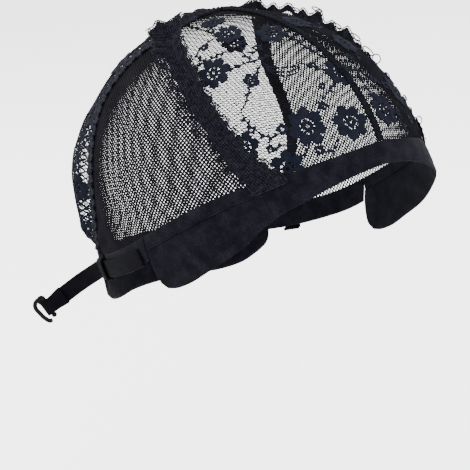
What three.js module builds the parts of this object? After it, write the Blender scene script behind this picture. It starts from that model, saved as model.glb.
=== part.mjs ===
// A lace wig cap with side nets, ruffled seams, an elastic edge band, ear tabs and an adjuster strap.
// Millimetres, +Z up, the forehead at -Y and the wearer's right at -X.
// The origin is the inside of the crown, straight above the middle of the head hollow.
import * as THREE from "three";

// Head hollow
const headWidth = 135;
const headLength = 192;
const crownHeight = 76.5;
const lowerWallTaper = 0.45;

// Cloth and clearances
const laceThickness = 1.0;
const netThickness = 1.0;
const netTopShare = 0.93;
const seamGap = 0.4;
const layerGap = 0.4;

// Edge bands
const bandThickness = 1.6;
const casingThickness = 2.0;
const tabThickness = 1.4;
const napeThickness = 1.8;
const napeFlare = 2.6;
const leftTempleFlare = 4;
const templeFlareReach = 0.7;
const casingDrop = 0.38;

// Centre tape and seam trims
const tapeWidth = 3.6;
const tapeThickness = 0.9;
const ruffleWidth = 13;
const ruffleThickness = 1.1;
const ruffleWaveLength = 7.2;
const ruffleLift = 3.4;
const ruffleWaveHeight = 1.9;
const ruffleScallop = 0.7;
const ruffleShoulder = 0.55;
const ruffleCurl = 1.4;
const ruffleEdgeShift = 0.6 * Math.PI;
const ruffleFootLift = 0.25;
const crownRuffleLift = 0.3;
const rearTrimTopWidth = 7.4;
const rearTrimFootWidth = 4.6;
const rearTrimThickness = 1.0;
const rearTrimWaveLength = 6;
const rearTrimWaveHeight = 0.9;
const trimStandOff = 7.4;
const crownRuffleStandOff = 4.4;
const trimFootGap = 2.4;

// Loose back lace
const backBulge = 5.2;
const backHalfWidth = 62;
const backBulgeShares = { footStart: 0.02, footFull: 0.28, crownFull: 0.26, crownEnd: 0.52 };
const backFoldDepth = 0.9;
const backFoldCount = 5;
const backFlatMargin = 5.5;
const backBulgeRun = 14;

// Adjuster strap, its keepers and its hook
const strapWidth = 8.4;
const strapThickness = 1.1;
const strapFreeLength = 44;
const foldLength = 10.5;
const keeperLength = 9;
const keeperThickness = 1.1;
const keeperFoot = 1.5;
const keeperRoom = 0.6;
const keeperStep = 0.1;
const hookWire = 1.8;
const hookBar = 11;
const hookReach = 6;
const hookMouth = 1.2;

// Angles around the head are counted from the forehead, and rise is up from the widest level.
const crownCorner = { turn: 112, rise: 66 };
const templeTop = { turn: 43.5, rise: 9 };
const templeFoot = { turn: 39.5, rise: -1.5 };
const earTop = { turn: 87, rise: -11.2 };
const napeCorner = { turn: 126, rise: -26.6 };
const bandTopRise = 17.3;
const bandFootRise = 9.8;
const crownSeamRise = 81.5;

const frontSeamRows = [
  templeTop,
  { turn: 47.5, rise: 12 },
  { turn: 52, rise: 16.5 },
  { turn: 57, rise: 23 },
  { turn: 63, rise: 31 },
  { turn: 69, rise: 39 },
  { turn: 77.5, rise: 48 },
  { turn: 90.5, rise: 57 },
  crownCorner,
];
const crownSeamRows = [
  { turn: 180, rise: crownSeamRise },
  { turn: 128, rise: 76 },
  crownCorner,
];
const rearSeamRows = [
  napeCorner,
  { turn: 120, rise: -18 },
  { turn: 116.5, rise: -9 },
  { turn: 115, rise: 1 },
  { turn: 115.5, rise: 11 },
  { turn: 117.5, rise: 22 },
  { turn: 119.5, rise: 33 },
  { turn: 119, rise: 44 },
  { turn: 116.5, rise: 55 },
  crownCorner,
];
const bandTopRows = [
  { turn: 0, rise: bandTopRise },
  { turn: 12, rise: 16.2 },
  { turn: 23, rise: 14.3 },
  { turn: 33, rise: 12 },
  templeTop,
];
const bandFootRows = [
  { turn: 0, rise: bandFootRise },
  { turn: 12.5, rise: 8.4 },
  { turn: 24, rise: 5.1 },
  { turn: 34, rise: 0.9 },
  templeFoot,
];
const netFootRows = [
  templeTop,
  { turn: 52, rise: 6.8 },
  { turn: 61.5, rise: 2.8 },
  { turn: 72, rise: -2.6 },
  { turn: 84, rise: -9.4 },
  { turn: 100, rise: -18.1 },
  { turn: 113, rise: -22.9 },
  napeCorner,
];
const casingTopRows = [...netFootRows.slice(0, 4), earTop];
const casingFootRows = [
  { turn: 42, rise: 5 },
  { turn: 51, rise: 2.9 },
  { turn: 61.5, rise: -1.9 },
  { turn: 72.3, rise: -7.9 },
  { turn: 86.3, rise: -15.8 },
];
const tabFootRows = [
  templeFoot,
  { turn: 46.5, rise: -7 },
  { turn: 53.6, rise: -13.7 },
  { turn: 64, rise: -21.4 },
  { turn: 71, rise: -26.5 },
  { turn: 77, rise: -29.6 },
  { turn: 81, rise: -30.4 },
];
const tabRearRows = [
  { turn: 81, rise: -30.4 },
  { turn: 84, rise: -28.2 },
  { turn: 85.5, rise: -24.3 },
  { turn: 86.2, rise: -20 },
  { turn: 86.3, rise: -15.8 },
];
const backBandTopRows = [
  earTop,
  { turn: 93, rise: -14.7 },
  { turn: 100, rise: -18.1 },
  { turn: 113, rise: -22.9 },
  napeCorner,
];
const backBandFootRows = [
  { turn: 87, rise: -20.2 },
  { turn: 94, rise: -24.4 },
  { turn: 102, rise: -28 },
  { turn: 110, rise: -31 },
  { turn: 118, rise: -33.4 },
  { turn: 126, rise: -35 },
];
const napeTopRows = [
  napeCorner,
  { turn: 145, rise: -29.3 },
  { turn: 163, rise: -30.3 },
  { turn: 180, rise: -30.6 },
];
const napeFootRows = [
  { turn: 131, rise: -46.5 },
  { turn: 138, rise: -50 },
  { turn: 150, rise: -51.5 },
  { turn: 165, rise: -52 },
  { turn: 180, rise: -52.2 },
];
const napeSideRows = [
  { turn: 131, rise: -46.5 },
  { turn: 127.4, rise: -42 },
  { turn: 126.2, rise: -35.5 },
  napeCorner,
];
const strapSeatRows = [
  { turn: 89, rise: -18.8 },
  { turn: 95, rise: -21.8 },
  { turn: 103, rise: -25.2 },
  { turn: 111, rise: -27.8 },
  { turn: 118, rise: -29.4 },
  { turn: 122.5, rise: -30.3 },
];
const keeperTurn = 118;
const strapSeat = bandThickness + layerGap;

// The free end turns away from the head and hangs down along its length.
const strapFreeRows = [
  { share: 0, away: -16, down: 22 },
  { share: 0.15, away: -6, down: 25 },
  { share: 0.35, away: 10, down: 28 },
  { share: 0.55, away: 24, down: 32 },
  { share: 0.8, away: 33, down: 35 },
  { share: 1, away: 33, down: 34 },
];

const strapEndAcross = [-0.32, 0.49, 0.81];

const cloth = { lace: 0x14141b, net: 0x121218, trim: 0x101016, band: 0x17171f, metal: 0x1b1b20 };

function finish(colour, roughness, metalness = 0) {
  return new THREE.MeshStandardMaterial({ color: colour, roughness, metalness });
}

function towards(row, side) {
  const turn = THREE.MathUtils.degToRad(row.turn) * side;
  const rise = THREE.MathUtils.degToRad(row.rise);
  return new THREE.Vector3(
    Math.cos(rise) * Math.sin(turn),
    -Math.cos(rise) * Math.cos(turn),
    Math.sin(rise),
  );
}

// A point of the head hollow, or a height above it, in a direction of the unit sphere.
function capPoint(direction, height) {
  const level = Math.hypot(direction.x, direction.y);
  const reach = direction.z < 0 ? 1 - lowerWallTaper * (1 - level) : level;
  const spread = level > 0 ? reach / level : 0;
  return new THREE.Vector3(
    (headWidth / 2 + height) * direction.x * spread,
    (headLength / 2 + height) * direction.y * spread,
    (crownHeight + height) * direction.z,
  );
}

function seam(directions) {
  const curve = new THREE.CatmullRomCurve3(directions, false, "catmullrom", 0.5);
  return (share) => curve.getPointAt(THREE.MathUtils.clamp(share, 0, 1)).normalize();
}

function sideSeam(rows, side) {
  return seam(rows.map((row) => towards(row, side)));
}

// Rows that start on the middle line or end on it, run from the wearer's right to the left.
function crossSeam(rowsFromMiddle) {
  const right = rowsFromMiddle.slice(1).reverse().map((row) => towards(row, -1));
  const left = rowsFromMiddle.map((row) => towards(row, 1));
  return seam([...right, ...left]);
}

function middleLine() {
  const start = THREE.MathUtils.degToRad(bandTopRise);
  const end = THREE.MathUtils.degToRad(180 - crownSeamRise);
  return (share) => {
    const angle = start + (end - start) * share;
    return new THREE.Vector3(0, -Math.cos(angle), Math.sin(angle));
  };
}

function seamLength(line, height) {
  let length = 0;
  const steps = 60;
  for (let step = 0; step < steps; step += 1) {
    length += capPoint(line(step / steps), height).distanceTo(capPoint(line((step + 1) / steps), height));
  }
  return length;
}

// One closed body from an inner and an outer grid of points, with its faces pointing out.
function closedShell(columns, rows, innerPoint, outerPoint) {
  const positions = [];
  const layerSize = (columns + 1) * (rows + 1);
  for (const pointAt of [outerPoint, innerPoint]) {
    for (let column = 0; column <= columns; column += 1) {
      for (let row = 0; row <= rows; row += 1) {
        positions.push(...pointAt(column, row).toArray());
      }
    }
  }
  const outer = (column, row) => column * (rows + 1) + row;
  const inner = (column, row) => layerSize + outer(column, row);
  const faces = [];
  const quad = (a, b, c, d) => faces.push(a, b, c, a, c, d);
  for (let column = 0; column < columns; column += 1) {
    for (let row = 0; row < rows; row += 1) {
      quad(outer(column, row), outer(column + 1, row), outer(column + 1, row + 1), outer(column, row + 1));
      quad(inner(column, row), inner(column, row + 1), inner(column + 1, row + 1), inner(column + 1, row));
    }
    quad(outer(column, 0), inner(column, 0), inner(column + 1, 0), outer(column + 1, 0));
    quad(outer(column, rows), outer(column + 1, rows), inner(column + 1, rows), inner(column, rows));
  }
  for (let row = 0; row < rows; row += 1) {
    quad(outer(0, row), outer(0, row + 1), inner(0, row + 1), inner(0, row));
    quad(outer(columns, row), inner(columns, row), inner(columns, row + 1), outer(columns, row + 1));
  }
  return outwardGeometry(positions, faces);
}

function outwardGeometry(positions, faces) {
  const corner = (index) => new THREE.Vector3().fromArray(positions, index * 3);
  let volume = 0;
  for (let face = 0; face < faces.length; face += 3) {
    volume += corner(faces[face]).dot(corner(faces[face + 1]).cross(corner(faces[face + 2])));
  }
  const turned = volume < 0 ? [...faces].reverse() : faces;
  const geometry = new THREE.BufferGeometry();
  geometry.setAttribute("position", new THREE.Float32BufferAttribute(positions, 3));
  geometry.setIndex(turned);
  geometry.computeVertexNormals();
  return geometry;
}

// A four-sided cloth panel between its seams, kept half a seam gap inside each of them.
function panel({ start, end, lower, upper, columns, rows, low, high, upperShare = 1 }) {
  const apart = (a, b) => capPoint(a, 0).distanceTo(capPoint(b, 0));
  const corners = [start(0), end(0), start(1), end(1)];
  const directionAt = (s, t) => {
    const result = new THREE.Vector3();
    result.addScaledVector(lower(s), 1 - t).addScaledVector(upper(s), t);
    result.addScaledVector(start(t), 1 - s).addScaledVector(end(t), s);
    result.addScaledVector(corners[0], -(1 - s) * (1 - t)).addScaledVector(corners[1], -s * (1 - t));
    result.addScaledVector(corners[2], -(1 - s) * t).addScaledVector(corners[3], -s * t);
    return result.normalize();
  };
  const place = (column, row) => {
    const wantedS = column / columns;
    const wantedT = (row / rows) * upperShare;
    const easeT = seamGap / 2 / apart(lower(wantedS), directionAt(wantedS, upperShare));
    const t = THREE.MathUtils.lerp(easeT, upperShare - easeT, row / rows);
    const easeS = seamGap / 2 / apart(start(t), end(t));
    const s = THREE.MathUtils.lerp(easeS, 1 - easeS, wantedS);
    return { direction: directionAt(s, t), s: wantedS, t: wantedT };
  };
  const pointAt = (heightOf) => (column, row) => {
    const spot = place(column, row);
    return capPoint(spot.direction, heightOf(spot.s, spot.t));
  };
  return closedShell(columns, rows, pointAt(low), pointAt(high));
}

// Where a line runs on the cap: its heading, the way out of the cloth and the way across the line.
function lineFrame(line, share) {
  const step = 0.002;
  const direction = line(share);
  const heading = line(Math.min(share + step, 1)).sub(line(Math.max(share - step, 0))).normalize();
  const aside = new THREE.Vector3().crossVectors(direction, heading).normalize();
  const slope = (way) => {
    const ahead = direction.clone().addScaledVector(way, step).normalize();
    const behind = direction.clone().addScaledVector(way, -step).normalize();
    return capPoint(ahead, 0).sub(capPoint(behind, 0)).divideScalar(2 * step);
  };
  const alongSlope = slope(heading);
  const asideSlope = slope(aside);
  const forward = alongSlope.clone().normalize();
  const out = new THREE.Vector3().crossVectors(forward, asideSlope).normalize();
  const across = new THREE.Vector3().crossVectors(out, forward).normalize();
  const asidePerLength = 1 / asideSlope.dot(across);
  const headingPerLength = -asidePerLength * asideSlope.dot(forward) / alongSlope.length();
  const sidestep = aside.multiplyScalar(asidePerLength).addScaledVector(heading, headingPerLength);
  return { direction, forward, out, across, sidestep };
}

function besideLine(frame, offset) {
  return frame.direction.clone().addScaledVector(frame.sidestep, offset).normalize();
}

// A strip that follows a line on the cap; section(share) lists its points from edge to edge.
function strip(line, from, to, columns, section) {
  const sections = [];
  for (let column = 0; column <= columns; column += 1) {
    const share = THREE.MathUtils.lerp(from, to, column / columns);
    sections.push({ frame: lineFrame(line, share), rows: section(share) });
  }
  const rows = sections[0].rows.length - 1;
  const pointAt = (layer) => (column, row) => {
    const { frame, rows: across } = sections[column];
    return capPoint(besideLine(frame, across[row].offset), across[row][layer]);
  };
  return closedShell(columns, rows, pointAt("low"), pointAt("high"));
}

// A flat ribbon through stations, each with the low and high points of its two edges.
function ribbon(stations) {
  const pointAt = (layer) => (column, row) => stations[column][layer][row];
  return closedShell(stations.length - 1, 1, pointAt("low"), pointAt("high"));
}

// A station of a free ribbon, from its middle, the way across its width and the way out of its face.
function freeStation(middle, across, out, width, thickness) {
  const edges = (level) => [-0.5, 0.5].map((edge) => middle.clone()
    .addScaledVector(across, edge * width)
    .addScaledVector(out, level * thickness));
  return { low: edges(-0.5), high: edges(0.5) };
}

function frontLace(side) {
  return panel({
    start: middleLine(),
    end: sideSeam(frontSeamRows, side),
    lower: sideSeam(bandTopRows, side),
    upper: sideSeam(crownSeamRows, side),
    columns: 12,
    rows: 12,
    low: () => 0,
    high: () => laceThickness,
  });
}

function sideNet(side) {
  return panel({
    start: sideSeam(frontSeamRows, side),
    end: sideSeam(rearSeamRows, side),
    lower: sideSeam(netFootRows, side),
    upper: () => towards(crownCorner, side),
    columns: 12,
    rows: 12,
    low: () => 0,
    high: () => netThickness,
    upperShare: netTopShare,
  });
}

function backBulgeAt(s, t) {
  const fromSeam = backHalfWidth * (1 - Math.abs(2 * s - 1));
  const spread = THREE.MathUtils.smoothstep(fromSeam, backFlatMargin, backFlatMargin + backBulgeRun);
  const { footStart, footFull, crownFull, crownEnd } = backBulgeShares;
  const fromFoot = THREE.MathUtils.smoothstep(t, footStart, footFull);
  const fromCrown = 1 - THREE.MathUtils.smoothstep(t, crownFull, crownEnd);
  const folds = backFoldDepth * Math.sin(2 * Math.PI * backFoldCount * s) * fromFoot * fromCrown;
  return spread * (backBulge * fromFoot * fromCrown + folds);
}

function backLace() {
  return panel({
    start: sideSeam(rearSeamRows, -1),
    end: sideSeam(rearSeamRows, 1),
    lower: crossSeam([...napeTopRows].reverse()),
    upper: crossSeam(crownSeamRows),
    columns: 20,
    rows: 12,
    low: backBulgeAt,
    high: (s, t) => backBulgeAt(s, t) + laceThickness,
  });
}

// The left temple stands off the head, more towards its lower edge.
function templeFlare(side, fromTemple, down) {
  const nearness = 1 - THREE.MathUtils.smoothstep(fromTemple, 0, templeFlareReach);
  return side > 0 ? leftTempleFlare * down * nearness : 0;
}

function frontBand() {
  const edge = (side) => seam([towards(templeFoot, side), towards(templeTop, side)]);
  const flare = (s, t) => templeFlare(1, 2 * (1 - s), 1 - t);
  return panel({
    start: edge(-1),
    end: edge(1),
    lower: crossSeam(bandFootRows),
    upper: crossSeam(bandTopRows),
    columns: 26,
    rows: 2,
    low: flare,
    high: (s, t) => flare(s, t) + bandThickness,
  });
}

function sideCasing(side) {
  const flare = (s, t) => templeFlare(side, s, casingDrop * (1 - t));
  return panel({
    start: seam([towards(casingFootRows[0], side), towards(casingTopRows[0], side)]),
    end: seam([towards(casingFootRows.at(-1), side), towards(earTop, side)]),
    lower: sideSeam(casingFootRows, side),
    upper: sideSeam(casingTopRows, side),
    columns: 14,
    rows: 1,
    low: flare,
    high: (s, t) => flare(s, t) + casingThickness,
  });
}

function earTab(side) {
  const flare = (s, t) => templeFlare(side, s, casingDrop + (1 - casingDrop) * (1 - t));
  return panel({
    start: seam([towards(templeFoot, side), towards(casingFootRows[0], side)]),
    end: sideSeam(tabRearRows, side),
    lower: sideSeam(tabFootRows, side),
    upper: sideSeam(casingFootRows, side),
    columns: 14,
    rows: 5,
    low: flare,
    high: (s, t) => flare(s, t) + tabThickness,
  });
}

function backBand(side) {
  return panel({
    start: seam([towards(backBandFootRows[0], side), towards(earTop, side)]),
    end: seam([towards(backBandFootRows.at(-1), side), towards(napeCorner, side)]),
    lower: sideSeam(backBandFootRows, side),
    upper: sideSeam(backBandTopRows, side),
    columns: 12,
    rows: 2,
    low: () => 0,
    high: () => bandThickness,
  });
}

function napePanel() {
  return panel({
    start: sideSeam(napeSideRows, -1),
    end: sideSeam(napeSideRows, 1),
    lower: crossSeam([...napeFootRows].reverse()),
    upper: crossSeam([...napeTopRows].reverse()),
    columns: 20,
    rows: 4,
    low: (s, t) => napeFlare * (1 - t),
    high: (s, t) => napeFlare * (1 - t) + napeThickness,
  });
}

function centreTape() {
  const line = middleLine();
  const length = seamLength(line, laceThickness);
  const low = laceThickness + layerGap;
  const section = () => [-1, 0, 1].map((edge) => ({
    offset: (edge * tapeWidth) / 2,
    low,
    high: low + tapeThickness,
  }));
  return strip(line, seamGap / length, 1 - trimStandOff / length, 16, section);
}

// Both edges of a ruffle stand up in waves, one edge a part of a wave after the other.
function ruffleSection(length, waveLength, liftAt, seatAt) {
  return (share) => {
    const phase = (2 * Math.PI * share * length) / waveLength;
    return [-1, -ruffleShoulder, 0, ruffleShoulder, 1].map((edge) => {
      const wave = Math.sin(phase + (edge > 0 ? ruffleEdgeShift : 0));
      const flare = Math.abs(edge) ** ruffleCurl;
      const low = seatAt(share) + flare * liftAt(share) * (ruffleLift + ruffleWaveHeight * wave);
      return {
        offset: edge * (ruffleWidth / 2 + ruffleScallop * wave * flare),
        low,
        high: low + ruffleThickness,
      };
    });
  };
}

function ruffleStrip(line, inset, liftAt, seatAt) {
  const length = seamLength(line, laceThickness);
  const from = inset.foot / length;
  const to = 1 - inset.head / length;
  const waves = Math.max(1, Math.round(((to - from) * length) / ruffleWaveLength));
  const waveLength = ((to - from) * length) / waves;
  const seat = (share) => seatAt(share * length);
  return strip(line, from, to, waves * 4, ruffleSection(length, waveLength, liftAt, seat));
}

// A side ruffle lies over the band at its foot and stands up more and more towards the crown.
function sideRuffle(side) {
  const seat = laceThickness + layerGap;
  const overBand = casingThickness - laceThickness;
  return ruffleStrip(
    sideSeam(frontSeamRows, side),
    { foot: 2 * seamGap, head: 0 },
    (share) => THREE.MathUtils.lerp(ruffleFootLift, 1, THREE.MathUtils.smoothstep(share, 0.25, 0.75)),
    (along) => seat + overBand * (1 - THREE.MathUtils.smoothstep(along, 0, ruffleWidth)),
  );
}

function crownRuffle() {
  return ruffleStrip(
    crossSeam(crownSeamRows),
    { foot: crownRuffleStandOff, head: crownRuffleStandOff },
    () => crownRuffleLift,
    () => laceThickness + layerGap,
  );
}

function rearTrim(side) {
  const line = sideSeam(rearSeamRows, side);
  const length = seamLength(line, netThickness);
  const from = trimFootGap / length;
  const to = 1 - trimStandOff / length;
  const waves = Math.max(1, Math.round(((to - from) * length) / rearTrimWaveLength));
  const section = (share) => {
    const along = (share - from) / (to - from);
    const width = THREE.MathUtils.lerp(rearTrimFootWidth, rearTrimTopWidth, along);
    const wave = Math.sin(2 * Math.PI * waves * along);
    return [-1, 0, 1].map((edge) => {
      const low = netThickness + layerGap + Math.abs(edge) * rearTrimWaveHeight * (1 + wave) * 0.5;
      return { offset: (edge * width) / 2, low, high: low + rearTrimThickness };
    });
  };
  return strip(line, from, to, waves * 3, section);
}

// A bridge over the back band with room for the strap under it.
function keeper(side) {
  const line = sideSeam(strapSeatRows, side);
  const shareOf = (turn) => {
    let low = 0;
    let high = 1;
    for (let halving = 0; halving < 24; halving += 1) {
      const middle = (low + high) / 2;
      const reached = THREE.MathUtils.radToDeg(Math.atan2(Math.abs(line(middle).x), -line(middle).y));
      if (reached < turn) {
        low = middle;
      } else {
        high = middle;
      }
    }
    return low;
  };
  const length = seamLength(line, bandThickness);
  const middle = shareOf(keeperTurn);
  const inside = strapWidth / 2 + keeperRoom;
  const outside = inside + keeperFoot;
  const roof = strapSeat + strapThickness + layerGap;
  const top = roof + keeperThickness;
  const section = () => [
    { offset: -outside, low: strapSeat, high: roof },
    { offset: -inside - keeperStep, low: strapSeat, high: top },
    { offset: -inside, low: roof, high: top },
    { offset: inside, low: roof, high: top },
    { offset: inside + keeperStep, low: strapSeat, high: top },
    { offset: outside, low: strapSeat, high: roof },
  ];
  const half = keeperLength / 2 / length;
  return strip(line, middle - half, Math.min(middle + half, 1), 3, section);
}

function freeDirection(share) {
  let index = 1;
  while (index < strapFreeRows.length - 1 && share > strapFreeRows[index].share) {
    index += 1;
  }
  const before = strapFreeRows[index - 1];
  const after = strapFreeRows[index];
  const mix = (share - before.share) / (after.share - before.share);
  const away = THREE.MathUtils.degToRad(THREE.MathUtils.lerp(before.away, after.away, mix));
  const down = THREE.MathUtils.degToRad(THREE.MathUtils.lerp(before.down, after.down, mix));
  return new THREE.Vector3(
    -Math.sin(away) * Math.cos(down),
    Math.cos(away) * Math.cos(down),
    -Math.sin(down),
  );
}

// The strap lies on the back band, runs under its keeper and hangs free to where its end folds.
function strapRoute() {
  const line = sideSeam(strapSeatRows, -1);
  const seatSteps = 14;
  const stations = [];
  let frame = null;
  for (let step = 0; step <= seatSteps; step += 1) {
    frame = lineFrame(line, step / seatSteps);
    const edges = (height) => [0.5, -0.5]
      .map((edge) => capPoint(besideLine(frame, edge * strapWidth), height));
    stations.push({ low: edges(strapSeat), high: edges(strapSeat + strapThickness) });
  }
  const seatAcross = frame.across.clone().negate();
  const endAcross = new THREE.Vector3(...strapEndAcross);
  const point = capPoint(frame.direction, strapSeat + strapThickness / 2);
  const freeSteps = 12;
  let across = seatAcross;
  let out = frame.out;
  for (let step = 1; step <= freeSteps; step += 1) {
    const share = step / freeSteps;
    point.addScaledVector(freeDirection(share - 0.5 / freeSteps), strapFreeLength / freeSteps);
    const forward = freeDirection(share);
    across = seatAcross.clone().lerp(endAcross, share);
    across.addScaledVector(forward, -across.dot(forward)).normalize();
    out = new THREE.Vector3().crossVectors(across, forward).normalize();
    stations.push(freeStation(point, across, out, strapWidth, strapThickness));
  }
  return { stations, end: point, forward: freeDirection(1), across, out };
}

// The strap's end goes once round the hook's bar and lies back on the strap.
function adjusterStrap(route) {
  const stations = [...route.stations];
  const addStation = (ahead, outward, turned) => {
    const middle = route.end.clone()
      .addScaledVector(route.forward, ahead)
      .addScaledVector(route.out, outward);
    const out = route.out.clone().multiplyScalar(Math.cos(turned))
      .addScaledVector(route.forward, -Math.sin(turned));
    stations.push(freeStation(middle, route.across, out, strapWidth, strapThickness));
  };
  const turnRadius = hookWire / 2 + layerGap + strapThickness / 2;
  const backLayer = strapThickness + layerGap;
  const arcSteps = 6;
  for (let step = 1; step <= arcSteps; step += 1) {
    const angle = (Math.PI * step) / arcSteps;
    addStation(turnRadius * Math.sin(angle), turnRadius * (1 - Math.cos(angle)), angle);
  }
  for (const share of [0.35, 0.7, 1]) {
    addStation(-foldLength * share, backLayer, Math.PI);
  }
  return ribbon(stations);
}

// An open hook of round wire: its bar lies in the strap's fold and its arm comes back round to a free tip.
function hook(route) {
  const turnRadius = hookWire / 2 + layerGap + strapThickness / 2;
  const barMiddle = route.end.clone().addScaledVector(route.out, turnRadius);
  const half = hookBar / 2;
  const rows = [
    { up: -half, reach: 0 },
    { up: 0, reach: 0 },
    { up: half - 1.2, reach: 0 },
    { up: half, reach: 1.2 },
    { up: half, reach: hookReach - 1.8 },
    { up: half - 1.6, reach: hookReach },
    { up: 0, reach: hookReach },
    { up: -half + 1.8, reach: hookReach - 0.7 },
    { up: -half - 0.4, reach: hookReach - 2 },
    { up: -half - 0.7, reach: hookMouth + hookWire },
  ];
  const points = rows.map((row) => barMiddle.clone()
    .addScaledVector(route.across, row.up)
    .addScaledVector(route.forward, row.reach));
  const path = new THREE.CatmullRomCurve3(points, false, "catmullrom", 0.5);
  const ring = new THREE.Shape();
  ring.absarc(0, 0, hookWire / 2, 0, 2 * Math.PI);
  return new THREE.ExtrudeGeometry(ring, { steps: 34, curveSegments: 4, extrudePath: path });
}

const cap = new THREE.Group();
cap.position.z = -crownHeight;

function add(name, geometry, material) {
  const mesh = new THREE.Mesh(geometry, material);
  mesh.name = name;
  cap.add(mesh);
}

const route = strapRoute();
for (const [label, side] of [["right", -1], ["left", 1]]) {
  add(`front_lace_${label}`, frontLace(side), finish(cloth.lace, 0.9));
  add(`side_net_${label}`, sideNet(side), finish(cloth.net, 0.9));
  add(`side_ruffle_${label}`, sideRuffle(side), finish(cloth.trim, 0.95));
  add(`rear_trim_${label}`, rearTrim(side), finish(cloth.trim, 0.95));
  add(`side_casing_${label}`, sideCasing(side), finish(cloth.band, 0.85));
  add(`ear_tab_${label}`, earTab(side), finish(cloth.band, 0.85));
  add(`back_band_${label}`, backBand(side), finish(cloth.band, 0.85));
  add(`strap_keeper_${label}`, keeper(side), finish(cloth.band, 0.8));
}
add("back_lace", backLace(), finish(cloth.lace, 0.9));
add("front_band", frontBand(), finish(cloth.band, 0.85));
add("nape_panel", napePanel(), finish(cloth.band, 0.85));
add("centre_tape", centreTape(), finish(cloth.trim, 0.9));
add("crown_ruffle", crownRuffle(), finish(cloth.trim, 0.95));
add("adjuster_strap", adjusterStrap(route), finish(cloth.band, 0.75));
add("hook", hook(route), finish(cloth.metal, 0.35, 0.4));

export default cap;
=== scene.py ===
import math
import random
from collections import namedtuple

import bmesh
import bpy
from bpy.props import FloatProperty, FloatVectorProperty, PointerProperty
from mathutils import Matrix, Vector, geometry, kdtree, noise


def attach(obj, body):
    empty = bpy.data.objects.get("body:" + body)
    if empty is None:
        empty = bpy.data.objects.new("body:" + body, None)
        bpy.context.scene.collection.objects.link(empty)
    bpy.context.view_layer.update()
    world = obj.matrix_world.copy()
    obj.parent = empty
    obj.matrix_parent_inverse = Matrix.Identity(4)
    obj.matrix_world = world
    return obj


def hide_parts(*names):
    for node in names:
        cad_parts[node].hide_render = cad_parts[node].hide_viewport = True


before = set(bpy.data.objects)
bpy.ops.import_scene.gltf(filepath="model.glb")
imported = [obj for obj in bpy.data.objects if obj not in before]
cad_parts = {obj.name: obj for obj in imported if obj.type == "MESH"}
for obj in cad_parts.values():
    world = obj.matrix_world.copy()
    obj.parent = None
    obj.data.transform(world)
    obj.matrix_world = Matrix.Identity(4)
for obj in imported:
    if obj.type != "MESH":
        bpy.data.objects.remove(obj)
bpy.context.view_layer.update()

bl_info = {
    "name": "Lace Wig Cap",
    "version": (1, 0, 0),
    "blender": (4, 5, 0),
    "location": "3D View > Sidebar > Wig Cap",
    "description": "Builds a lace wig cap with nets, ruffles, stretch bands and a hooked strap",
    "category": "Object",
}

MM = 0.001
BODY = "root"
RIGHT = -1
LEFT = 1
SIDES = (("right", RIGHT), ("left", LEFT))

# Turns are degrees round the cap from its front middle, and rise is up from the widest level.
Spot = namedtuple("Spot", "turn rise")


def spots(*pairs):
    return [Spot(*pair) for pair in pairs]


CROWN_CORNER = Spot(112, 66)
TEMPLE_TOP = Spot(43.5, 9)
TEMPLE_FOOT = Spot(39.5, -1.5)
EAR_TOP = Spot(87, -11.2)
NAPE_CORNER = Spot(126, -26.6)
CROWN_SEAM_RISE = 81.5
BAND_TOP_RISE = 17.3

FRONT_SEAM = [TEMPLE_TOP] + spots(
    (47.5, 12), (52, 16.5), (57, 23), (63, 31), (69, 39), (77.5, 48), (90.5, 57)) + [CROWN_CORNER]
CROWN_SEAM = [Spot(180, CROWN_SEAM_RISE), Spot(128, 76), CROWN_CORNER]
REAR_SEAM = [NAPE_CORNER] + spots(
    (120, -18), (116.5, -9), (115, 1), (115.5, 11), (117.5, 22),
    (119.5, 33), (119, 44), (116.5, 55)) + [CROWN_CORNER]
BAND_TOP = spots((0, BAND_TOP_RISE), (12, 16.2), (23, 14.3), (33, 12)) + [TEMPLE_TOP]
BAND_FOOT = spots((0, 9.8), (12.5, 8.4), (24, 5.1), (34, 0.9)) + [TEMPLE_FOOT]
RUFFLE_SEAM = spots((42.4, 6.2)) + FRONT_SEAM
BAND_LAP_TOP = Spot(46, 8.3)
BAND_LAP_FOOT = Spot(42, -2.7)
NET_FOOT = [TEMPLE_TOP] + spots(
    (52, 6.8), (61.5, 2.8), (72, -2.6), (84, -9.4), (100, -18.1), (113, -22.9)) + [NAPE_CORNER]
CASING_TOP = NET_FOOT[:4] + [EAR_TOP]
CASING_FOOT = spots((42, 5), (51, 2.9), (61.5, -1.9), (72.3, -7.9), (86.3, -15.8))
TAB_FOOT = [TEMPLE_FOOT] + spots(
    (46.5, -7), (53.6, -13.7), (64, -21.4), (71, -26.5), (77, -29.6), (81, -30.4))
TAB_REAR = spots((81, -30.4), (84, -28.2), (85.5, -24.3), (86.2, -20), (86.3, -15.8))
BACK_BAND_TOP = [EAR_TOP] + spots((93, -14.7), (100, -18.1), (113, -22.9)) + [NAPE_CORNER]
BACK_BAND_FOOT = spots((87, -20.2), (94, -24.4), (102, -28), (110, -31), (118, -33.4), (126, -35))
NAPE_TOP = spots((180, -30.6), (163, -30.3), (145, -29.3)) + [NAPE_CORNER]
NAPE_FOOT = spots((180, -52.2), (165, -52), (150, -51.5), (139, -48.6), (132, -43.6))
NAPE_SIDE = spots((132, -43.6), (127.8, -40), (126.2, -35.5)) + [NAPE_CORNER]
STRAP_SEAT = spots((89, -18.8), (95, -21.8), (103, -25.2), (111, -27.8), (118, -29.4), (122.5, -30.3))
KEEPER_SHARE = 0.86

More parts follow.
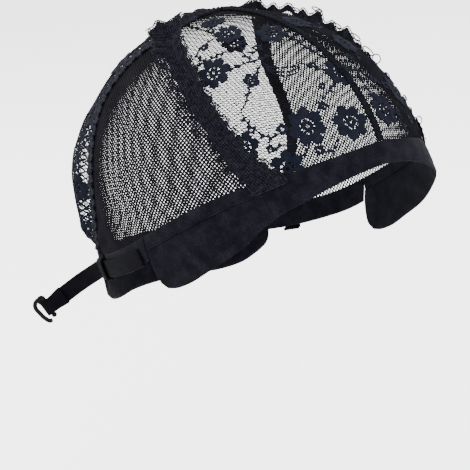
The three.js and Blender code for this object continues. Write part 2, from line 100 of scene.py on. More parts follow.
# Headings of the strap's free end along its length, in degrees away from the cap and down.
Heading = namedtuple("Heading", "share away down")
STRAP_HEADINGS = [
    Heading(0, -16, 22), Heading(0.15, -6, 25), Heading(0.35, 10, 28),
    Heading(0.55, 24, 32), Heading(0.8, 33, 35), Heading(1, 33, 34),
]
STRAP_END_ACROSS = Vector((-0.32, 0.49, 0.81))

# Lace flowers: where each one lies, by signed turn and rise, and its size in millimetres.
Flower = namedtuple("Flower", "turn rise size petals")
FRONT_FLOWERS = [
    Flower(-27, 25.5, 16.5, 7), Flower(-10, 25, 15.5, 7), Flower(9.5, 26.5, 15, 7),
    Flower(-2, 42.5, 14, 7), Flower(-54.5, 65.5, 14, 7), Flower(-22, 64, 14.5, 6),
    Flower(-60.5, 46.5, 16, 7), Flower(-36.5, 12.5, 15, 7), Flower(-49, 20, 13, 6),
    Flower(-44, 43, 7.5, 5), Flower(30, 30, 15, 7), Flower(28, 52, 14.5, 7),
    Flower(52, 44, 15.5, 7), Flower(40, 15.5, 13.5, 6), Flower(60, 62, 14, 7),
    Flower(18, 68, 14, 6), Flower(44, 33, 7.5, 5), Flower(-75, 74, 11, 6),
]
BACK_FLOWERS = [
    Flower(-133, 46, 15, 7), Flower(-126.5, 26, 14, 7), Flower(-123.5, 0, 14, 7), Flower(-125, -17, 13, 7),
    Flower(-151, 62, 13, 6), Flower(176, 61, 13, 7), Flower(133, 45, 14, 7), Flower(155, 31, 13, 6),
    Flower(148, 16, 14, 7), Flower(140.5, 1, 14, 7), Flower(131.5, -13, 13, 6),
]

# Rings: small eyelet buds beside the vines.
Ring = namedtuple("Ring", "turn rise size")
FRONT_RINGS = [
    Ring(-36, 25.3, 4.6), Ring(-13, 46.8, 3.6), Ring(-69, 58, 4.2), Ring(-45, 60, 3.4),
    Ring(-18.5, 31.5, 3.8), Ring(-46.5, 25.5, 3.6), Ring(-25, 17.5, 4.0), Ring(-41, 19, 3.4),
    Ring(16, 37, 4.0), Ring(22, 33.5, 3.6), Ring(14, 47, 3.8), Ring(36, 41, 4.0), Ring(27, 20, 4.2),
    Ring(-38, 57, 3.2), Ring(-15, 38.5, 3.2), Ring(18, 24, 3.6), Ring(62, 52, 4.0),
]

# Vines: signed turn and rise of the points that each one runs through.
FRONT_VINES = [
    spots((-57, 48), (-52, 48.5), (-45, 50.5), (-37.5, 52), (-29, 53.5)),
    spots((-37, 50.5), (-40.5, 47), (-44, 43), (-46, 38.5), (-47.5, 35), (-49.5, 32)),
    spots((-49.5, 32), (-48, 28.5), (-45, 25.5), (-41, 23), (-37, 24), (-32.5, 25.5)),
    spots((-18.5, 48.5), (-13, 46.5), (-9, 44), (-4, 43)),
    spots((-4, 41), (-9, 38.5), (-14, 36), (-18, 33.5), (-21, 31), (-24, 28)),
    spots((-27.5, 21), (-29.5, 17.5), (-33, 15)),
    spots((-26, 19), (-22, 16.8), (-18, 18.5), (-17.5, 21)),
    spots((-41, 23), (-41, 19), (-37, 20), (-33.5, 20.5)),
    spots((-50, 63), (-46.5, 58.5), (-45.5, 54.5), (-42, 52)),
    spots((-45.5, 55), (-37, 56), (-32.5, 60)),
    spots((-64, 64), (-69, 60), (-72, 55), (-67, 52), (-61, 50)),
    spots((-14, 64), (-10, 60), (-8, 55), (-3, 49)),
    spots((3, 44), (10, 41.5), (16, 37.5), (22, 33.5), (26, 31)),
    spots((12.5, 31), (15.5, 26), (17.5, 20.5), (20, 16)),
    spots((8, 28), (7.5, 36), (10, 41.5)),
    spots((20, 44), (26, 48), (28, 50)),
    spots((34, 50), (40, 48), (46, 45)),
    spots((36, 41), (40, 37), (44, 33), (46, 27), (42, 20)),
    spots((22, 66), (30, 62), (40, 61), (52, 61)),
    spots((56, 48), (60, 53), (61, 58)),
    spots((-66, 66), (-72, 70), (-78, 72)),
]
BACK_VINES = [
    spots((-133, 42), (-137, 34), (-130, 29)), spots((-127, 21), (-123, 14), (-125, 5)),
    spots((-123, -5), (-121, -9), (-123.5, -13)), spots((-137, 48), (-144, 55), (-149, 60)),
    spots((-119.5, 9), (-124, 5), (-128, -1), (-127, -7), (-123, -12)),
    spots((-122, 38), (-125, 33), (-122, 20), (-119, 16)),
    spots((-154, 64), (-168, 65), (-180, 63)), spots((170, 61), (155, 57), (137, 48)),
    spots((136, 41), (146, 36), (153, 33)), spots((155, 27), (154, 22), (150, 19)),
    spots((147, 12), (145, 8), (142, 5)), spots((139, -3), (137, -7), (133, -10)),
    spots((131, -17), (130, -21), (129, -25)), spots((-127, -21), (-130, -23), (-129, -26)),
    spots((-129, 21), (-134, 14), (-138, 6), (-136, -2)),
]
CRESCENT = spots((-37, 49), (-34, 45.5), (-29, 44), (-22.5, 45), (-18.5, 48.5))


def towards(spot, side=LEFT):
    turn = math.radians(spot.turn) * side
    rise = math.radians(spot.rise)
    return Vector((
        math.cos(rise) * math.sin(turn),
        -math.cos(rise) * math.cos(turn),
        math.sin(rise),
    ))


def mix(low, high, share):
    return low + (high - low) * share


def smooth(value, low, high):
    share = min(max((value - low) / (high - low), 0.0), 1.0)
    return share * share * (3 - 2 * share)


class Form:
    """The hollow that every piece of cloth lies on."""

    def __init__(self, sizes):
        self.half_width = sizes.head_width / 2
        self.half_length = sizes.head_length / 2
        self.height = sizes.crown_height
        self.taper = sizes.lower_wall_taper

    def point(self, direction, lift=0.0):
        level = math.hypot(direction.x, direction.y)
        reach = 1 - self.taper * (1 - level) if direction.z < 0 else level
        spread = reach / level if level > 1e-9 else 0.0
        return Vector((
            (self.half_width + lift) * direction.x * spread,
            (self.half_length + lift) * direction.y * spread,
            (self.height + lift) * direction.z - self.height,
        ))


class Seam:
    """A smooth line of directions through given ones, read by its share of the whole length."""

    SPAN_STEPS = 24

    def __init__(self, directions):
        ends = [2 * directions[0] - directions[1], *directions, 2 * directions[-1] - directions[-2]]
        self.points = []
        for before, start, end, after in zip(ends, ends[1:], ends[2:], ends[3:]):
            span = geometry.interpolate_bezier(
                start, start + (end - before) / 6, end - (after - start) / 6, end, self.SPAN_STEPS + 1)
            self.points.extend(span[:-1])
        self.points.append(directions[-1])
        self.reached = [0.0]
        for here, there in zip(self.points, self.points[1:]):
            self.reached.append(self.reached[-1] + (there - here).length)

    def __call__(self, share):
        wanted = min(max(share, 0.0), 1.0) * self.reached[-1]
        low = 0
        high = len(self.reached) - 1
        while high - low > 1:
            middle = (low + high) // 2
            if self.reached[middle] <= wanted:
                low = middle
            else:
                high = middle
        span = self.reached[high] - self.reached[low]
        part = (wanted - self.reached[low]) / span if span else 0.0
        return self.points[low].lerp(self.points[high], part).normalized()


def side_seam(rows, side):
    return Seam([towards(row, side) for row in rows])


def cross_seam(rows_from_middle, right_end=()):
    """A seam over the middle line, from the wearer's right to the left."""
    right = [towards(row, RIGHT) for row in reversed([*rows_from_middle[1:], *right_end])]
    return Seam(right + [towards(row, LEFT) for row in rows_from_middle])


def middle_line(share):
    angle = math.radians(mix(BAND_TOP_RISE, 180 - CROWN_SEAM_RISE, share))
    return Vector((0, -math.cos(angle), math.sin(angle)))


def free_line(rows):
    """A line over any part of the cap, from rows with signed turns."""
    return Seam([towards(row) for row in rows])


def run_length(points):
    return sum((there - here).length for here, there in zip(points, points[1:]))


def line_length(form, line, lift=MM, steps=60):
    return run_length([form.point(line(step / steps), lift) for step in range(steps + 1)])


def coons(start, end, lower, upper):
    """Directions over a four-sided panel between its seams."""
    corners = (start(0), end(0), start(1), end(1))

    def direction(s, t):
        result = lower(s) * (1 - t) + upper(s) * t + start(t) * (1 - s) + end(t) * s
        result -= corners[0] * ((1 - s) * (1 - t)) + corners[1] * (s * (1 - t))
        result -= corners[2] * ((1 - s) * t) + corners[3] * (s * t)
        return result.normalized()

    return direction


LineFrame = namedtuple("LineFrame", "direction forward out across sidestep")


def line_frame(form, line, share):
    """Where a line runs on the cap, its heading, the way out of the cloth and the way across."""
    step = 0.002
    direction = line(share)
    heading = (line(min(share + step, 1)) - line(max(share - step, 0))).normalized()
    aside = direction.cross(heading).normalized()

    def slope(way):
        ahead = (direction + way * step).normalized()
        behind = (direction - way * step).normalized()
        return (form.point(ahead) - form.point(behind)) / (2 * step)

    along_slope = slope(heading)
    aside_slope = slope(aside)
    forward = along_slope.normalized()
    out = forward.cross(aside_slope).normalized()
    across = out.cross(forward).normalized()
    aside_part = 1 / aside_slope.dot(across)
    heading_part = -aside_part * aside_slope.dot(forward) / along_slope.length
    return LineFrame(direction, forward, out, across, aside * aside_part + heading * heading_part)


def beside(line_at, offset):
    return (line_at.direction + line_at.sidestep * offset).normalized()


class Chart:
    """A flat pattern laid on the cap round a middle spot, with lengths across and up."""

    def __init__(self, form, middle, roll=0.0):
        self.middle = middle
        up = Vector((0, 0, 1))
        if abs(middle.z) > 0.98:
            up = Vector((0, 1, 0))
        up = (up - middle * up.dot(middle)).normalized()
        turned = Matrix.Rotation(roll, 3, middle)
        self.up = turned @ up
        self.across = self.up.cross(middle)
        self.scale_across = self.stretch(form, self.across)
        self.scale_up = self.stretch(form, self.up)

    def stretch(self, form, way):
        step = 0.01
        ahead = form.point((self.middle + way * step).normalized())
        behind = form.point((self.middle - way * step).normalized())
        return (ahead - behind).length / (2 * step)

    def direction(self, across, up):
        a = across / self.scale_across
        b = up / self.scale_up
        angle = math.hypot(a, b)
        if angle < 1e-9:
            return self.middle.copy()
        way = (self.across * a + self.up * b) / angle
        return self.middle * math.cos(angle) + way * math.sin(angle)

    def flatten(self, direction):
        angle = math.acos(min(max(direction.dot(self.middle), -1.0), 1.0))
        a = direction.dot(self.across)
        b = direction.dot(self.up)
        size = math.hypot(a, b)
        if size < 1e-9:
            return (0.0, 0.0)
        return (angle * a / size * self.scale_across, angle * b / size * self.scale_up)


def outline(chart, lines, grow, steps=26):
    """A closed outline of seams on a chart, grown a little all round."""
    points = []
    for line, from_share, to_share in lines:
        for step in range(steps):
            points.append(chart.flatten(line(mix(from_share, to_share, step / steps))))
    middle_x = sum(point[0] for point in points) / len(points)
    middle_y = sum(point[1] for point in points) / len(points)
    grown = []
    for x, y in points:
        far = math.hypot(x - middle_x, y - middle_y)
        factor = 1 + grow / far
        grown.append((middle_x + (x - middle_x) * factor, middle_y + (y - middle_y) * factor))
    return grown


def inside(polygon, x, y):
    result = False
    before_x, before_y = polygon[-1]
    for here_x, here_y in polygon:
        if (here_y > y) != (before_y > y):
            if x < (before_x - here_x) * (y - here_y) / (before_y - here_y) + here_x:
                result = not result
        before_x, before_y = here_x, here_y
    return result


def grid(bm, columns, rows, place, size=(1.0, 1.0)):
    """A sheet of faces whose corners are placed by their share along and across."""
    uv_layer = bm.loops.layers.uv.verify()
    verts = bmesh.ops.create_grid(bm, x_segments=columns, y_segments=rows, size=0.5)["verts"]
    for face in {face for vert in verts for face in vert.link_faces}:
        for loop in face.loops:
            loop[uv_layer].uv = ((loop.vert.co.x + 0.5) * size[0], (loop.vert.co.y + 0.5) * size[1])
    for vert in verts:
        vert.co = place(vert.co.x + 0.5, vert.co.y + 0.5)
    return verts


def to_threads(bm, thread):
    """Turn the edges of a sheet into threads and leave its faces open."""
    bm.normal_update()
    bmesh.ops.wireframe(
        bm, faces=bm.faces[:], thickness=thread, offset=0.0,
        use_replace=True, use_boundary=True, use_even_offset=False)


def thicken(bm, thickness):
    """Give a whole sheet its thickness."""
    bm.normal_update()
    bmesh.ops.solidify(bm, geom=bm.faces[:], thickness=thickness)
    bmesh.ops.recalc_face_normals(bm, faces=bm.faces[:])


def tube(bm, points, radius, sides=4, out=Vector((0, 0, 1)), closed=False):
    """A round thread or wire through points, closed to a ring or with pointed ends."""
    count = len(points)
    steps = count if closed else count - 1
    sections = []
    for index in range(steps + 1):
        here = points[index % count]
        before = points[index - 1] if closed or index > 0 else here
        after = points[(index + 1) % count] if closed or index < count - 1 else here
        forward = (after - before).normalized()
        normal = out - forward * out.dot(forward)
        normal = normal.normalized() if normal.length > 1e-6 else forward.orthogonal().normalized()
        sections.append((here, normal, forward.cross(normal)))

    def place(s, t):
        index = round(s * steps)
        middle, normal, binormal = sections[index]
        tip = not closed and index in (0, steps)
        reach = 0.0 if tip else radius
        angle = 2 * math.pi * t
        return middle + (normal * math.cos(angle) + binormal * math.sin(angle)) * reach

    verts = grid(bm, steps, sides, place)
    bmesh.ops.remove_doubles(bm, verts=verts, dist=1e-6)


def strip_place(form, line, from_share, to_share, columns, offset_at, lift_at):
    """A placing function for a strip that follows a line on the cap."""
    frames = [line_frame(form, line, mix(from_share, to_share, c / columns)) for c in range(columns + 1)]

    def place(s, t):
        line_at = frames[round(s * columns)]
        return form.point(beside(line_at, offset_at(s, t)), lift_at(s, t))

    return place


# Edges of a padded cloth panel: distance in from the edge and share of the full thickness there.
Rim = namedtuple("Rim", "inward fullness")
RIMS = [Rim(0.0, 0.0), Rim(0.12 * MM, 0.6), Rim(0.4 * MM, 0.92), Rim(0.9 * MM, 1.0)]


def eased(count, length):
    """Shares along a panel side, close together by both edges, with the fullness at each."""
    last = RIMS[-1].inward / length
    shares = [rim.inward / length for rim in RIMS]
    fullness = [rim.fullness for rim in RIMS]
    inner = count - 2 * (len(RIMS) - 1)
    for step in range(1, inner):
        shares.append(mix(last, 1 - last, step / inner))
        fullness.append(1.0)
    shares += [1 - rim.inward / length for rim in reversed(RIMS)]
    fullness += [rim.fullness for rim in reversed(RIMS)]
    return shares, fullness


def cloth_panel(bm, form, direction, columns, rows, low, high, relief=None):
    """A closed panel of cloth with rounded edges; relief(s, t, along, up) adds to its outer face."""
    length = run_length([form.point(direction(step / 40, 0.5), MM) for step in range(41)])
    rise = run_length([form.point(direction(0.5, end), MM) for end in (0, 1)])
    s_shares, s_full = eased(columns, length)
    t_shares, t_full = eased(rows, rise)

    def placing(face):
        def place(column_share, row_share):
            column = round(column_share * columns)
            row = round(row_share * rows)
            s, t = s_shares[column], t_shares[row]
            full = min(s_full[column], t_full[row])
            bottom, top = low(s, t), high(s, t)
            lift = (bottom + top) / 2 + face * full * (top - bottom) / 2
            if relief and face > 0:
                lift += full * relief(s, t, s * length, t * rise)
            return form.point(direction(s, t), lift)
        return place

    made = grid(bm, columns, rows, placing(1), (length, rise))
    made += grid(bm, columns, rows, placing(-1), (length, rise))
    bmesh.ops.remove_doubles(bm, verts=made, dist=1e-7)
    bmesh.ops.recalc_face_normals(bm, faces=bm.faces[:])


STITCH_THREAD = 0.17 * MM
STITCH_SHAPE = ((0.0, -0.5), (0.15, 0.6), (0.5, 1.0), (0.85, 0.6), (1.0, -0.5))


def stitches(bm, form, line, offset, lift, from_share=0.0, to_share=1.0,
             gap=0.9 * MM, length=1.7 * MM, thread=STITCH_THREAD):
    """A row of raised stitches along a line on the cap."""
    whole = line_length(form, line) * (to_share - from_share)
    count = max(1, int(whole / (gap + length)))
    for index in range(count):
        start = mix(from_share, to_share, index / count)
        span = (to_share - from_share) * length / (whole + 1e-9)
        points = []
        for part, rise in STITCH_SHAPE:
            line_at = line_frame(form, line, min(start + span * part, 1.0))
            height = lift(start) if callable(lift) else lift
            points.append(form.point(beside(line_at, offset), height + rise * thread))
        tube(bm, points, thread, 4, line_at.out)


def piece(name, bm, material, replaces=()):
    """Turn a bmesh into a piece that rides on the cap."""
    mesh = bpy.data.meshes.new(name)
    bm.to_mesh(mesh)
    bm.free()
    mesh.polygons.foreach_set("use_smooth", [True] * len(mesh.polygons))
    mesh.materials.append(material)
    made = bpy.data.objects.new(name, mesh)
    bpy.context.scene.collection.objects.link(made)
    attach(made, BODY)
    if replaces:
        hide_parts(*replaces)
    return made


# Sizes and colours

def length(name, description, millimetres):
    return FloatProperty(
        name=name, description=description, default=millimetres * MM, min=0.0, unit="LENGTH", precision=5)


def colour(name, description, value):
    return FloatVectorProperty(
        name=name, description=description, default=value, min=0.0, max=1.0, size=3, subtype="COLOR")


class CapSizes(bpy.types.PropertyGroup):
    head_width: length("Head width", "Width of the hollow", 135)
    head_length: length("Head length", "Length of the hollow from front to back", 192)
    crown_height: length("Crown height", "Height of the crown above the widest level", 76.5)
    lower_wall_taper: FloatProperty(
        name="Lower wall taper", description="How much the walls draw in below the widest level",
        default=0.45, min=0.0, max=1.0, subtype="FACTOR")
    cloth_lift: length("Cloth lift", "Height of the nets above the hollow", 0.55)
    back_bulge: length("Back bulge", "How far the back lace stands off the hollow", 5.2)
    back_fold: length("Back fold", "Depth of the loose folds in the back lace", 0.9)
    temple_flare: length("Temple flare", "How far the left temple stands off the hollow", 4)
    nape_flare: length("Nape flare", "How far the nape panel stands off at its foot", 4)


class NetSizes(bpy.types.PropertyGroup):
    front_pitch: length("Front net pitch", "Distance between the holes of the front net", 1.2)
    front_thread: length("Front net thread", "Thickness of the front net's thread", 0.46)
    side_pitch: length("Side net pitch", "Distance between the holes of the side net", 1.5)
    side_thread: length("Side net thread", "Thickness of the right side net's thread", 1.4)
    far_thread: length("Left net thread", "Thickness of the left side net's thread", 1.0)
    back_pitch: length("Back net pitch", "Distance between the holes of the back lace", 1.6)
    back_thread: length("Back net thread", "Thickness of the back lace's thread", 0.52)
    motif_height: length("Motif height", "Height of the lace flowers above the net", 0.3)
    motif_thickness: length("Motif thickness", "Thickness of the lace flowers", 0.34)
    vine_width: length("Vine width", "Width of the vines between the flowers", 0.6)
    border_thread: length("Border thread", "Width of the coarse threads along the rear seam", 0.7)


class RuffleSizes(bpy.types.PropertyGroup):
    width: length("Ruffle width", "Width of the gathered edging", 13)
    wave_length: length("Wave length", "Distance between the ruffle's large waves", 7.2)
    wave_height: length("Wave height", "Height of the ruffle's large waves", 0.9)
    lift: length("Ruffle lift", "How far the ruffle's edges stand up", 3.2)
    puff_length: length("Puff length", "Distance between the ruffle's soft puffs", 17)
    puff_height: length("Puff height", "Height of the ruffle's soft puffs", 1.6)
    scallop: length("Scallop", "Length of a scallop on the edge", 2.5)
    scallop_depth: length("Scallop depth", "Depth of the scallops on the edge", 0.5)
    net_side: FloatProperty(
        name="Net side", description="Share of the ruffle's half towards the side net that is dense",
        default=0.52, min=0.0, max=1.0, subtype="FACTOR")
    lace_side: FloatProperty(
        name="Lace side", description="Share of the ruffle's half towards the front lace that is dense",
        default=0.84, min=0.0, max=1.0, subtype="FACTOR")
    far_dense_from: FloatProperty(
        name="Left dense from", description="Share off the seam where the wearer's left ruffle turns dense",
        default=0.5, min=0.0, max=1.0, subtype="FACTOR")
    backing_step: length("Backing step", "Distance between the gathers that the dense layer can hold", 0.8)
    lace_pitch: length("Lace pitch", "Distance between the pinholes of the edging", 1.1)
    lace_thread: length("Lace thread", "Thickness of the edging's threads", 0.52)
    picot_thread: length("Picot thread", "Thickness of the loops on the edge", 0.36)
    loop_thread: length("Loop thread", "Thickness of the stray loops", 0.56)
    tape_width: length("Tape width", "Width of the centre tape", 3.6)


class BandSizes(bpy.types.PropertyGroup):
    band_thickness: length("Band thickness", "Thickness of the front and back bands", 1.6)
    casing_thickness: length("Casing thickness", "Thickness of the side casing", 2.0)
    tab_thickness: length("Tab thickness", "Thickness of the ear tabs", 1.4)
    nape_thickness: length("Nape thickness", "Thickness of the nape panel", 1.8)
    rib_pitch: length("Rib pitch", "Distance between the ribs of the ear tabs", 1.15)
    rib_height: length("Rib height", "Height of the ribs of the ear tabs", 0.13)
    lap_lift: length("Lap lift", "How far the front band's ends rise over the casings", 1.2)
    hem: length("Hem", "Depth of the hem at the foot of the ear tabs", 5)


class StrapSizes(bpy.types.PropertyGroup):
    width: length("Strap width", "Width of the elastic", 8.4)
    thickness: length("Strap thickness", "Thickness of the elastic", 1.1)
    free_length: length("Free length", "Length of the strap from its keeper to the hook", 44)
    fold: length("Fold", "Length of the end that is folded back", 10.5)
    seat: length("Seat", "Height of the strap's underside above the hollow", 2.0)
    keeper_length: length("Keeper length", "Length of the keeper along the strap", 9)
    hook_wire: length("Hook wire", "Thickness of the hook's wire", 2.2)
    hook_bar: length("Hook bar", "Length of the hook's bar", 11)
    hook_reach: length("Hook reach", "How far the hook's arm stands off its bar", 6)


class ClothColours(bpy.types.PropertyGroup):
    lace: colour("Lace", "Colour of the lace threads", (0.0018, 0.0017, 0.0025))
    flower: colour("Flower", "Colour of the lace flowers", (0.0021, 0.0028, 0.0058))
    net: colour("Net", "Colour of the side nets", (0.0018, 0.0016, 0.0023))
    trim: colour("Trim", "Colour of the ruffles and trims", (0.0029, 0.0027, 0.0044))
    band: colour("Band", "Colour of the stretch bands", (0.0013, 0.0013, 0.0023))
    strap: colour("Strap", "Colour of the elastic strap", (0.0009, 0.0009, 0.0015))
    # Colour of random lighter flecks on every cloth: partly wear, and on the ruffles also painted highlights
    # of the crumpled lace.
    wear_and_highlight_tone: colour("Wear And Highlight", "Colour of the worn ridges and stitches", (0.0095, 0.0095, 0.0135))
    metal: colour("Metal", "Colour of the coated hook", (0.0006, 0.0006, 0.0007))
    floor: colour("Floor", "Colour of the floor", (0.94, 0.94, 0.94))


# Materials

def new_group(name, inputs, outputs):
    group = bpy.data.node_groups.new(name, "ShaderNodeTree")
    for socket_name, socket_type, default in inputs:
        socket = group.interface.new_socket(socket_name, in_out="INPUT", socket_type=socket_type)
        socket.default_value = default
    for socket_name, socket_type in outputs:
        group.interface.new_socket(socket_name, in_out="OUTPUT", socket_type=socket_type)
    nodes = group.nodes
    return group, nodes, nodes.new("NodeGroupInput"), nodes.new("NodeGroupOutput")


def node(nodes, links, kind, inputs=None, **settings):
    made = nodes.new(kind)
    for key, value in settings.items():
        setattr(made, key, value)
    for key, value in (inputs or {}).items():
        if isinstance(value, bpy.types.NodeSocket):
            links.new(value, made.inputs[key])
        else:
            made.inputs[key].default_value = value
    return made


def set_inputs(made, values):
    for key, value in values.items():
        made.inputs[key].default_value = value


def use_group(nodes, tree, values):
    made = nodes.new("ShaderNodeGroup")
    made.node_tree = tree
    set_inputs(made, values)
    return made


def new_material(name):
    material = bpy.data.materials.new(name)
    material.use_nodes = True
    tree = material.node_tree
    return material, tree.nodes, tree.links, tree.nodes["Principled BSDF"]


def yarn_group():
    """Fuzz and twist of yarn: colour, roughness and height that change over the cloth, with random lighter
    flecks that are partly wear and partly painted highlight.
    """
    group, nodes, entry, result = new_group(
        "yarn_fuzz",
        [("Color", "NodeSocketColor", (0.01, 0.01, 0.015, 1)),
         ("Worn And Highlight Color", "NodeSocketColor", (0.04, 0.04, 0.05, 1)),
         ("Fuzz Scale", "NodeSocketFloat", 2600.0),
         ("Cloud Scale", "NodeSocketFloat", 90.0),
         ("Wear", "NodeSocketFloat", 0.25),
         ("Roughness", "NodeSocketFloat", 0.85)],
        [("Color", "NodeSocketColor"), ("Roughness", "NodeSocketFloat"), ("Height", "NodeSocketFloat")])
    links = group.links
    where = node(nodes, links, "ShaderNodeTexCoord")
    fuzz = node(nodes, links, "ShaderNodeTexNoise", {
        "Vector": where.outputs["Object"], "Scale": entry.outputs["Fuzz Scale"], "Detail": 3.0})
    cloud = node(nodes, links, "ShaderNodeTexNoise", {
        "Vector": where.outputs["Object"], "Scale": entry.outputs["Cloud Scale"], "Detail": 2.0})
    # Mask of the lighter flecks: partly wear, partly painted highlight.
    speck = node(nodes, links, "ShaderNodeMath", {
        0: fuzz.outputs["Fac"], 1: cloud.outputs["Fac"]}, operation="MULTIPLY")
    share = node(nodes, links, "ShaderNodeMapRange", {
        "Value": speck.outputs[0], "From Min": 0.18, "From Max": 0.42, "To Min": 0.0,
        "To Max": entry.outputs["Wear"]})
    blend = node(nodes, links, "ShaderNodeMix", {
        "Factor": share.outputs["Result"], "A": entry.outputs["Color"], "B": entry.outputs["Worn And Highlight Color"]},
        data_type="RGBA")
    rough = node(nodes, links, "ShaderNodeMath", {
        0: fuzz.outputs["Fac"], 1: 0.22, 2: entry.outputs["Roughness"]}, operation="MULTIPLY_ADD")
    lowered = node(nodes, links, "ShaderNodeMath", {0: rough.outputs[0], 1: 0.11}, operation="SUBTRACT")
    links.new(blend.outputs["Result"], result.inputs["Color"])
    links.new(lowered.outputs[0], result.inputs["Roughness"])
    links.new(fuzz.outputs["Fac"], result.inputs["Height"])
    return group


def rib_group():
    """Knitted ribs and courses that follow the cloth's own map, as a height."""
    group, nodes, entry, result = new_group(
        "knit_ribs",
        [("Rib Scale", "NodeSocketFloat", 1000.0),
         ("Course Scale", "NodeSocketFloat", 1400.0),
         ("Course Share", "NodeSocketFloat", 0.4)],
        [("Height", "NodeSocketFloat")])
    links = group.links
    where = node(nodes, links, "ShaderNodeTexCoord")
    parts = node(nodes, links, "ShaderNodeSeparateXYZ", {"Vector": where.outputs["UV"]})

    def ripple(axis, scale):
        turn = node(nodes, links, "ShaderNodeMath", {0: parts.outputs[axis], 1: scale}, operation="MULTIPLY")
        wave = node(nodes, links, "ShaderNodeMath", {0: turn.outputs[0]}, operation="SINE")
        return node(nodes, links, "ShaderNodeMath", {0: wave.outputs[0], 1: 0.5, 2: 0.5},
                    operation="MULTIPLY_ADD").outputs[0]

    ribs = ripple("X", entry.outputs["Rib Scale"])
    courses = ripple("Y", entry.outputs["Course Scale"])
    blend = node(nodes, links, "ShaderNodeMix", {
        "Factor": entry.outputs["Course Share"], "A": ribs, "B": courses})
    links.new(blend.outputs["Result"], result.inputs["Height"])
    return group


# How each cloth is finished: pitches and depths are in millimetres, and plain thread has no ribs.
Finish = namedtuple(
    "Finish", "tone roughness wear fuzz_scale cloud_scale fuzz_bump sheen rib course share rib_bump depth")
FINISHES = {
    "lace_thread": Finish("lace", 0.82, 0.4, 2600, 90, 0.35, 0.004, 0, 0, 0, 0, 0.12),
    "lace_flower": Finish("flower", 0.86, 0.4, 1500, 300, 0.8, 0.004, 0.42, 0.42, 0.5, 0.6, 0.14),
    "net_thread": Finish("net", 0.8, 0.4, 2400, 90, 0.4, 0.004, 0, 0, 0, 0, 0.12),
    # The ruffles carry strong lighter flecks: partly wear, partly painted highlights of the crumpled nylon
    # lace.
    "ruffle_thread": Finish("trim", 0.86, 1.5, 1200, 520, 0.6, 0.008, 0, 0, 0, 0, 0.12),
    "ruffle_cloth": Finish("trim", 0.9, 1.5, 1100, 480, 0.9, 0.008, 0.9, 1.1, 0.5, 0.5, 0.2),
    "tape_cloth": Finish("band", 0.9, 0.3, 1100, 480, 0.9, 0.0, 0.9, 1.1, 0.5, 0.5, 0.2),
    "band_knit": Finish("band", 0.85, 0.4, 1900, 160, 0.5, 0.006, 0.55, 0.75, 0.4, 0.6, 0.13),
    "tab_knit": Finish("band", 0.85, 0.4, 1900, 160, 0.5, 0.006, 1.15, 0.6, 0.35, 0.7, 0.15),
    "strap_weave": Finish("strap", 0.85, 0.1, 2600, 160, 0.3, 0.0, 0.5, 0.55, 0.5, 0.6, 0.12),
    "seam_thread": Finish("strap", 0.75, 0.7, 2600, 120, 0.3, 0.006, 0, 0, 0, 0, 0.12),
}
CLOTH_GLOSS = 0.02
SHEEN_ROUGHNESS = 0.55
SHEEN_TINT = (0.75, 0.78, 1.0, 1.0)


def cloth_material(name, finish):
    """A matt black cloth with fuzz, and ribs where it is knitted or woven."""
    tones = bpy.context.scene.cap_colours
    material, nodes, links, shader = new_material(name)
    yarn = use_group(nodes, bpy.data.node_groups.get("yarn_fuzz") or yarn_group(), {
        "Color": (*getattr(tones, finish.tone), 1), "Worn And Highlight Color": (*tones.wear_and_highlight_tone, 1),
        "Fuzz Scale": finish.fuzz_scale, "Cloud Scale": finish.cloud_scale,
        "Wear": finish.wear, "Roughness": finish.roughness})
    links.new(yarn.outputs["Color"], shader.inputs["Base Color"])
    links.new(yarn.outputs["Roughness"], shader.inputs["Roughness"])
    bump = node(nodes, links, "ShaderNodeBump", {
        "Height": yarn.outputs["Height"], "Strength": finish.fuzz_bump, "Distance": finish.depth * MM})
    normal = bump.outputs["Normal"]
    if finish.rib:
        ribs = use_group(nodes, bpy.data.node_groups.get("knit_ribs") or rib_group(), {
            "Rib Scale": 2 * math.pi / (finish.rib * MM),
            "Course Scale": 2 * math.pi / (finish.course * MM), "Course Share": finish.share})
        rib_node = node(nodes, links, "ShaderNodeBump", {
            "Height": ribs.outputs["Height"], "Strength": finish.rib_bump,
            "Distance": finish.depth * MM, "Normal": normal})
        normal = rib_node.outputs["Normal"]
    links.new(normal, shader.inputs["Normal"])
    set_inputs(shader, {
        "Specular IOR Level": CLOTH_GLOSS, "Sheen Weight": finish.sheen,
        "Sheen Roughness": SHEEN_ROUGHNESS, "Sheen Tint": SHEEN_TINT})
    return material


WIRE_GLOSS = 0.03
WIRE_COAT = 0.02
WIRE_COAT_ROUGHNESS = 0.25


def coated_wire(name, base):
    """Black coating on wire, a little uneven and satin."""
    material, nodes, links, shader = new_material(name)
    where = node(nodes, links, "ShaderNodeTexCoord")
    grain = node(nodes, links, "ShaderNodeTexNoise", {
        "Vector": where.outputs["Object"], "Scale": 700.0, "Detail": 4.0})
    rough = node(nodes, links, "ShaderNodeMapRange", {
        "Value": grain.outputs["Fac"], "To Min": 0.28, "To Max": 0.5})
    tone = node(nodes, links, "ShaderNodeMix", {
        "Factor": grain.outputs["Fac"], "A": (*base, 1), "B": (*[2 * part for part in base], 1)},
        data_type="RGBA")
    bump = node(nodes, links, "ShaderNodeBump", {
        "Height": grain.outputs["Fac"], "Strength": 0.15, "Distance": 0.1 * MM})
    links.new(tone.outputs["Result"], shader.inputs["Base Color"])
    links.new(rough.outputs["Result"], shader.inputs["Roughness"])
    links.new(bump.outputs["Normal"], shader.inputs["Normal"])
    set_inputs(shader, {
        "Specular IOR Level": WIRE_GLOSS, "Coat Weight": WIRE_COAT, "Coat Roughness": WIRE_COAT_ROUGHNESS})
    return material


def cloth(kind):
    """The material of a kind of cloth, made when it is first wanted."""
    return bpy.data.materials.get(kind) or cloth_material(kind, FINISHES[kind])


# Nets

